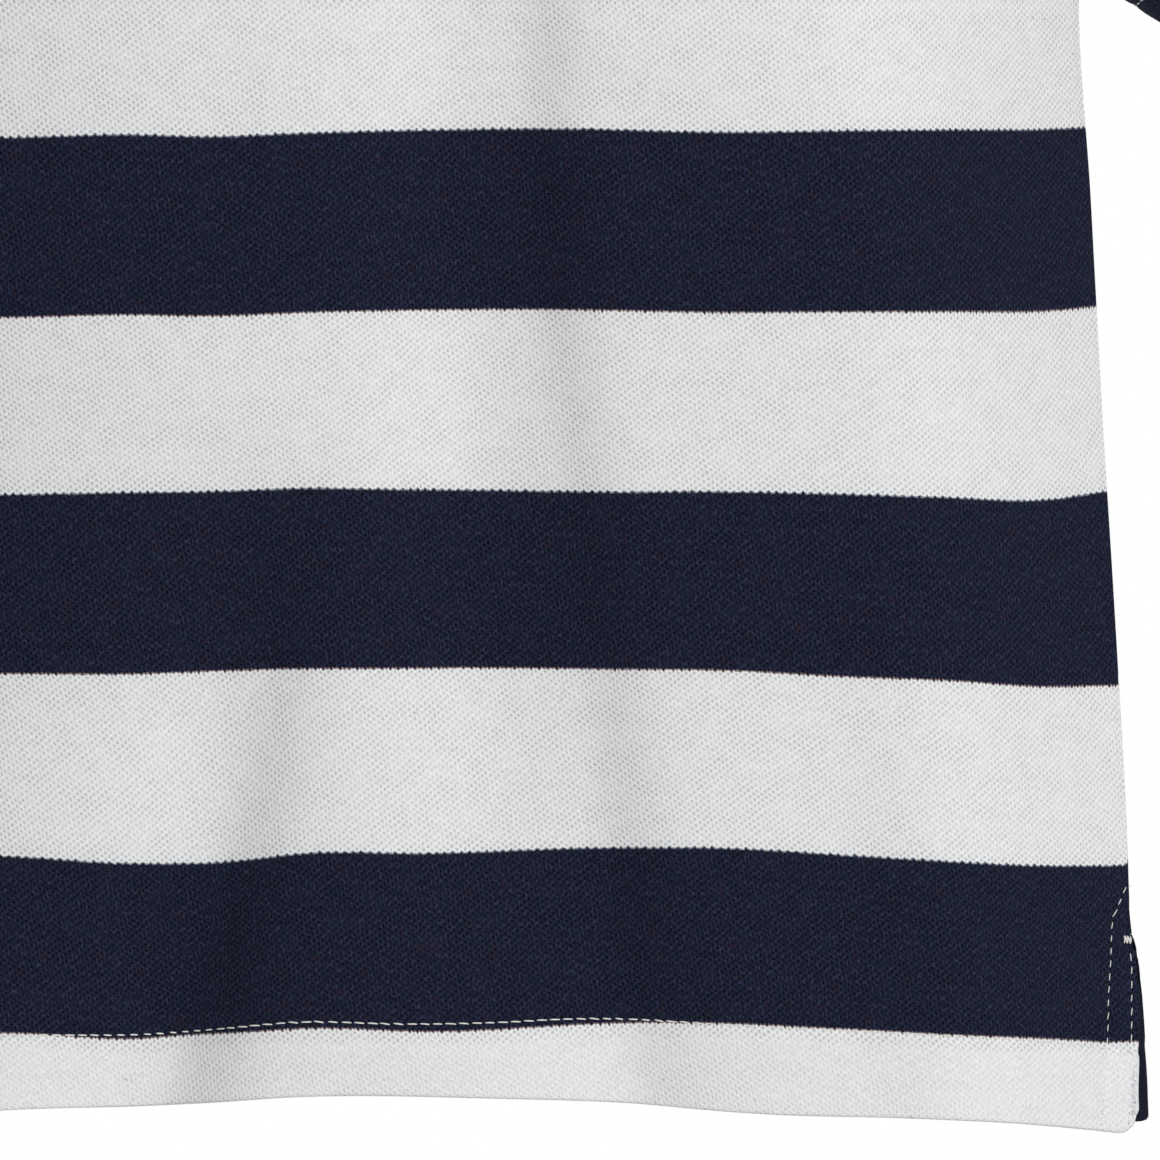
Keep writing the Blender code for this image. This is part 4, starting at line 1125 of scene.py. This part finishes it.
def noise(place, size, detail=2.0, roughness=0.5, part="Fac"):
    """Noise from 0 to 1 with spots of about the given size in metres."""
    inputs = {"Vector": place, "Scale": 1 / size, "Detail": detail, "Roughness": roughness}
    return wires(add_node(place.socket.id_data, "ShaderNodeTexNoise", inputs))[part]


def flat(place):
    """x and y of a place."""
    return list(wires(add_node(place.socket.id_data, "ShaderNodeSeparateXYZ",
                               {0: place})).values())[:2]


def blend(share, first, second, kind="MIX"):
    """Mix of two colours."""
    tree = next(value.socket.id_data for value in (share, first, second) if isinstance(value, Wire))
    node = add_node(tree, "ShaderNodeMix", data_type="RGBA", blend_type=kind)
    feed(node, {0: share, 6: first, 7: second})
    return Wire(node.outputs[2])


def new_group(name, inputs, outputs):
    """An empty node group, its inputs and its output node. Its sockets are numbers, and a
    place is a vector."""
    tree = bpy.data.node_groups.new(name, "ShaderNodeTree")
    for way, sockets in (("INPUT", inputs), ("OUTPUT", outputs)):
        for socket in sockets.split():
            kind = "NodeSocketVector" if socket == "Place" else "NodeSocketFloat"
            tree.interface.new_socket(socket, in_out=way, socket_type=kind)
    return tree, wires(add_node(tree, "NodeGroupInput")), add_node(tree, "NodeGroupOutput")


def use_group(tree, group, **inputs):
    """Outputs of a node group placed in a tree."""
    return wires(add_node(tree, "ShaderNodeGroup", inputs, node_tree=group))


# ---------- effects

TINT_SHARE = 0.22


def pique_group():
    """Pique knit: staggered rows of small holes. With x and y in the cloth, a hole is where
    cos(2 pi x / cell) cos(pi y / course) + 0.32 cos(4 pi x / cell) is high."""
    tree, given, output = new_group("pique knit", "Place", "Hole Height Column")
    place = given["Place"]
    x, y = flat(place)
    drift_x, drift_y = flat(noise(place, 0.005, part="Color"))
    turn_x = (x + y * LEAN + (drift_x - 0.5) * CELL_DRIFT) * (2 * pi / CELL_WIDTH)
    turn_y = (y - NAVY_BAND_FOOT + (drift_y - 0.5) * COURSE_DRIFT) * (pi / COURSE)
    column = turn_x.cos()
    lattice = column * turn_y.cos() + turn_x.sin() * turn_y.sin() * 0.16
    lattice = lattice + (turn_x * 2).cos() * 0.32
    fuzz = noise(place, 0.00045, 3, 0.6)
    patches = span(noise(place, 0.006, 3), 0.28, 0.72, 0.65, 1.2)
    hole = span(lattice + fuzz * 0.9, 0.15, 1.65) * patches
    height = fuzz * 0.35 - hole - lattice * 0.12
    feed(output, {"Hole": hole, "Height": height, "Column": column})
    return tree


def stripe_group(knit):
    """Stripes across the cloth: navy where sin(pi y / stripe) is above zero. At its lower
    border the navy reaches into the white in narrow slanting strokes, at its upper border in
    low peaks, one for every column of holes."""
    tree, given, output = new_group("knitted stripes", "Place", "Navy Border Foot Double")
    place = given["Place"]
    column = use_group(tree, knit, Place=place)["Column"]
    height = flat(place)[1]
    metre = pi / STRIPE  # what a metre across the border is in the wave
    turn = (height - NAVY_BAND_FOOT) * metre
    wave = turn.sin()
    at_foot = span(turn.cos(), -0.1, 0.1)
    peak = column * 0.5 + 0.5
    between = (column * column) ** 4 * (STROKE_BETWEEN * metre)
    strokes = peak**4 * (STROKE * metre) + between
    peaks = peak**1.6 * (PEAK * metre)
    reach = strokes * at_foot + peaks * (1 - at_foot)
    uneven = span(noise(place, 0.0032), 0.30, 0.70, 0.35, 1.15)
    ragged = (noise(place, 0.0005, 4, 0.6) - 0.5) * (RAGGEDNESS * metre)
    edge = wave + reach * uneven + ragged - BORDER_SHIFT * metre
    navy = span(edge, -BORDER_SOFTNESS * metre, BORDER_SOFTNESS * metre)
    border = span(wave.absolute(), 0, BORDER_WIDTH * metre, 1, 0)
    hem_foot = NAVY_BAND_FOOT - 4 * STRIPE
    double = span(height, hem_foot - 0.0042, hem_foot - 0.0022, 1, 0)
    feed(output, {"Navy": navy, "Border": border, "Foot": at_foot, "Double": double})
    return tree


def fleck_group():
    """Fine fibre flecks in a cloth, drawn out along the threads, and wider tinted spots."""
    tree, given, output = new_group("fibre flecks", "Place Size", "Light Tint")
    place, size = given["Place"], given["Size"]
    drawn = add_node(tree, "ShaderNodeMapping", {"Vector": place, "Scale": (1, 0.45, 1)})
    light = noise(wires(drawn)["Vector"], size, 3, 0.65)
    feed(output, {"Light": light, "Tint": noise(place, size * (1 / TINT_SHARE))})
    return tree


# ---------- materials

WHITE_STRAND = (0.865, 0.868, 0.874, 1)
# Painted shade: the white darkened in the knit's holes
WHITE_HOLE_SHADE = (0.590, 0.598, 0.612, 1)
NAVY_STRAND = (0.0078, 0.0100, 0.0280, 1)
# Painted shade: the navy darkened in the knit's holes and between the collar's ribs
NAVY_SHADE = (0.0008, 0.0012, 0.0045, 1)
NAVY_FLECK = (0.0310, 0.0380, 0.0800, 1)
NAVY_WARM = (0.0220, 0.0125, 0.0270, 1)
NAVY_TEAL = (0.0055, 0.0155, 0.0310, 1)
FRINGE_WARM = (0.130, 0.050, 0.050, 1)
FRINGE_BLUE = (0.080, 0.120, 0.180, 1)
# Twill tape: one navy with painted light on its ridges and painted shade in its valleys
TWILL_RIDGE_LIT = (0.0150, 0.0180, 0.0360, 1)
TWILL_VALLEY_SHADE = (0.0070, 0.0090, 0.0200, 1)
SHEEN = {"Sheen Weight": 0.03, "Sheen Roughness": 0.5, "Sheen Tint": (0.8, 0.87, 1.0, 1)}


def new_material(name):
    """A material, its node tree and the piece's own cloth map."""
    material = bpy.data.materials.new(name)
    material.use_nodes = True
    tree = material.node_tree
    return material, tree, wires(add_node(tree, "ShaderNodeUVMap", uv_map="cloth"))["UV"]


def dress(material, colour, roughness, relief=None, gloss=0.15, **inputs):
    """The material with its shader's values and its relief: height, metres and strength."""
    inputs.update({"Base Color": colour, "Roughness": roughness, "Specular IOR Level": gloss})
    if relief:
        bump = dict(zip(("Height", "Distance", "Strength"), relief))
        inputs["Normal"] = wires(add_node(material.node_tree, "ShaderNodeBump", bump))["Normal"]
    feed(material.node_tree.nodes["Principled BSDF"], inputs)
    return material


def striped_pique(knit, stripes, flecks):
    """White and navy pique: strands in each colour with painted shade in their holes, flecks, and
    relief.
    """
    material, tree, place = new_material("striped pique")
    cells = use_group(tree, knit, Place=place)
    bands = use_group(tree, stripes, Place=place)
    specks = use_group(tree, flecks, Place=place, Size=0.0006)
    light, tint, hole, in_navy = specks["Light"], specks["Tint"], cells["Hole"], bands["Navy"]
    # Painted shade in the knit's holes: stronger beside the stripes' borders, weaker where the hem
    # lies doubled
    hole_shade = hole * (span(bands["Double"], 0, 1, 1, 0.3) + bands["Border"] * 0.75) * 0.8
    white = blend(hole_shade.minimum(1), WHITE_STRAND, WHITE_HOLE_SHADE)
    white = blend(1, white, span(light, 0.30, 0.70, 0.93, 1.08), "MULTIPLY")
    navy = blend(span(light, 0.44, 0.70), NAVY_STRAND, NAVY_FLECK)
    navy = blend(span(tint, 0.54, 0.72, 0, 0.6), navy, NAVY_WARM)
    navy = blend(span(tint, 0.46, 0.28, 0, 0.6), navy, NAVY_TEAL)
    # Painted shade in the navy's holes
    navy = blend(span(hole, 0, 1.1), navy, NAVY_SHADE)
    fringe = blend(bands["Foot"], FRINGE_BLUE, FRINGE_WARM)
    halfway = in_navy * (1 - in_navy) * 2.8
    colour = blend(halfway, blend(in_navy, white, navy), fringe)
    return dress(material, colour, 0.92, (cells["Height"], 0.00012, 0.9), **SHEEN)


def flat_knit(flecks):
    """Navy rib: upright ridges with small loops, on the collar, and painted shade in the low places
    between them.
    """
    material, tree, place = new_material("navy flat knit")
    x, y = flat(place)
    light = use_group(tree, flecks, Place=place, Size=0.0006)["Light"]
    loops = (y * (2 * pi / LOOP_HEIGHT)).cos()
    height = (x * (2 * pi / RIB_WIDTH)).cos() + loops * 0.3 + light * 0.8
    colour = blend(span(light, 0.5, 0.75, 0, 0.8), NAVY_STRAND, NAVY_FLECK)
    # Painted shade where the rib's relief is low
    colour = blend(span(height, -0.9, 0.6, 1, 0) * 0.8, colour, NAVY_SHADE)
    return dress(material, colour, 0.9, (height, 0.00016, 0.8), **SHEEN)


def twill(flecks):
    """Navy twill tape: fine slanting ridges, with painted light on the ridges and painted shade in
    the valleys between them.
    """
    material, tree, place = new_material("navy twill")
    x, y = flat(place)
    light = use_group(tree, flecks, Place=place, Size=0.0005)["Light"]
    height = ((x + y) * (2 * pi / TWILL_WIDTH)).cos() * 0.4 + light * 0.6
    # Painted shade in the twill's valleys and painted light on its ridges
    colour = blend(span(height, -0.3, 0.9), TWILL_VALLEY_SHADE, TWILL_RIDGE_LIT)
    return dress(material, colour, 0.8, (height, 0.00004, 0.5))


def two_tone(name, light, dark, roughness, size=0.0004, spread=0.15, detail=2.0, soft=0.5,
             **inputs):
    """Two close shades in a soft noise of the piece's own place, as in twisted thread."""
    material = bpy.data.materials.new(name)
    material.use_nodes = True
    place = wires(add_node(material.node_tree, "ShaderNodeTexCoord"))["Object"]
    cloud = span(noise(place, size, detail, soft), 0.5 - spread, 0.5 + spread)
    return dress(material, blend(cloud, (*dark, 1), (*light, 1)), roughness, **inputs)


def thread(name, light, dark, roughness):
    """Look of a thread, a loose fibre or a needle hole's painted shade, on the shirt."""
    return Look(two_tone(name, light, dark, roughness), "striped_pique")


# ---------- the shirt


def stripe_wave(height):
    """Above zero on the navy stripes of the cloth and below zero on the white ones."""
    return np.sin((height - NAVY_BAND_FOOT) * pi / STRIPE)


knit = pique_group()
stripes = stripe_group(knit)
flecks = fleck_group()
pique = Look(striped_pique(knit, stripes, flecks), "striped_pique")
rib = Look(flat_knit(flecks), "collar_knit")
tape = Look(twill(flecks), "vent_tape")
cream = thread("cream thread", (0.86, 0.85, 0.82), (0.70, 0.69, 0.66), 0.7)
# Painted shade of the needle holes, on small dark lenses at the stitches' ends
shadow = thread("needle hole shade", (0.006, 0.007, 0.013), (0.002, 0.002, 0.004), 1.0)
lint = thread("pale lint", (0.13, 0.13, 0.15), (0.06, 0.06, 0.08), 0.9)
blue_lint = thread("blue lint", (0.08, 0.10, 0.16), (0.03, 0.04, 0.07), 0.9)
edge_lint = thread("edge lint", (0.42, 0.47, 0.58), (0.26, 0.30, 0.42), 0.9)
resin = two_tone("pearly resin", (0.80, 0.78, 0.72), (0.64, 0.61, 0.54), 0.22, 0.004, 0.2, 3.0,
                 0.6, gloss=0.5, **{"Coat Weight": 0.3})

grids = {side: Panel(side) for side in SIDES.values()}
armholes = {hand: Armhole(hand, grids) for hand in HANDS.values()}
tubes = {hand: Sleeve(armhole) for hand, armhole in armholes.items()}
panels = {name: add_panel(name, grids[side], armholes.values(), pique)
          for name, side in SIDES.items()}
sleeves = {hand: add_sleeve("sleeve_" + name, tubes[hand], pique) for name, hand in HANDS.items()}
collar = add_collar(rib)
over_strip = add_placket("placket_over", "placket", LAYER_GAP, pique)
under_strip = add_placket("placket_behind", "placket_under",
                          -CLOTH - LAYER_GAP - PLACKET_CLOTH, pique)

trims = {side: [] for side in SIDES.values()}
for side_name, side in SIDES.items():
    for hand_name, hand in HANDS.items():
        trims[side].append(add_vent_tape(f"vent_tape_{side_name}_{hand_name}", side, hand, tape))
    trims[side] += add_sewing(side_name, panel_seams(side), 40 + side, cream, shadow, side)
for name, hand in HANDS.items():
    seams = [cuff_seam(tubes[hand])]
    add_sewing("sleeve_" + name, seams, 60 + hand, cream, shadow)
placket_trims = add_sewing("placket", placket_seams(), 80, cream, shadow)
for hand_name, hand in HANDS.items():
    trims[FRONT].append(add_bar_tack("bar_tack_" + hand_name, hand, cream))
for name, height in BUTTON_HEIGHTS.items():
    placket_trims.append(add_buttonhole(name + "_hole", height, cream))
    add_button_thread(name + "_thread", height, Look(cream.material, "button_shell"))
    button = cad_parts[name]
    button.data.materials.clear()
    button.data.materials.append(resin)

covered = list(grids.values()) + list(tubes.values())
points, lean = (np.concatenate([getattr(grid, part).reshape(-1, 3) for grid in covered])
                for part in ("points", "normals"))
wave = stripe_wave(np.concatenate([grid.places[..., 1].ravel() for grid in covered]))
for name, chosen, count, seed, length, look in (
        ("pale_lint", wave > 0.15, 380, 5, 0.0020, lint),
        ("blue_lint", wave < -0.15, 160, 6, 0.0016, blue_lint)):
    fibres = add_fibres(name, points[chosen], lean[chosen], count, seed, length, look)
    trims[FRONT].append(fibres)
low = np.linspace(0.003, 0.016, 200)
inset = 0.0009 * (low * 7919 % 1)
for hand_name, hand in HANDS.items():
    edge = panel_seam(hand * (SHOULDER_HALF_WIDTH - inset), low, FRONT)
    fibres = add_fibres("vent_lint_" + hand_name, edge.points, edge.normals, 60, 7, 0.0009,
                        edge_lint)
    trims[FRONT].append(fibres)

# ---------- stage, light, camera

FLOOR_HEIGHT = -0.62
FLOOR_RADIUS = 1.3
MIDDLE = (0, 0, -0.25)
WORLD_LIGHT = 0.17


def add_floor():
    """A round pale floor: a disc of rings of points."""
    radii = np.linspace(0.001, FLOOR_RADIUS, 6)[:, None]
    turn = np.linspace(0, 2 * pi, 97)[None, :]
    height = np.full((6, 97), FLOOR_HEIGHT)
    points = np.stack([radii * np.cos(turn), radii * np.sin(turn), height], axis=-1)
    look = Look(two_tone("pale floor", (0.84,) * 3, (0.80,) * 3, 0.8, 0.25, 0.3), None)
    add_quads("floor", points.reshape(-1, 3), grid_quads(6, 97)[:, ::-1], None, look)


def aim(name, data, place, target):
    """A lamp or camera at a place, aimed at a point."""
    thing = bpy.data.objects.new(name, data)
    bpy.context.scene.collection.objects.link(thing)
    thing.location = place
    direction = Vector(target) - Vector(place)
    thing.rotation_euler = direction.to_track_quat("-Z", "Y").to_euler()
    return thing


def add_lamp(name, place, size, power):
    """A square soft lamp aimed at the middle of the shirt."""
    light = bpy.data.lights.new(name, "AREA")
    light.size = size
    light.energy = power
    aim(name, light, place, MIDDLE)


def set_world():
    """Even studio light, with a plain white backdrop behind everything."""
    world = bpy.data.worlds.new("studio")
    bpy.context.scene.world = world
    world.use_nodes = True
    seen = wires(add_node(world.node_tree, "ShaderNodeLightPath"))["Is Camera Ray"]
    strength = seen * (1 - WORLD_LIGHT) + WORLD_LIGHT
    feed(world.node_tree.nodes["Background"], {"Color": (1, 1, 1, 1), "Strength": strength})


def add_camera(place, target, lens):
    """The camera, aimed at a point."""
    data = bpy.data.cameras.new("camera")
    data.lens = lens
    data.sensor_width = 36
    data.clip_start = 0.05
    data.clip_end = 50
    bpy.context.scene.camera = aim("camera", data, place, target)


add_floor()
add_lamp("key lamp", (1.4, -2.35, 0.9), 0.7, 55)
add_lamp("fill lamp", (-1.6, -2.1, 0.5), 1.4, 6)
add_lamp("low lamp", (0.2, -1.8, -1.0), 1.2, 2)
add_lamp("rim lamp", (-0.6, 2.4, 0.8), 1.2, 30)
set_world()
add_camera((0, -2.43, -0.2), (0.0437, -0.03, -0.3077), 317.3)
bpy.context.scene.view_settings.view_transform = "Standard"
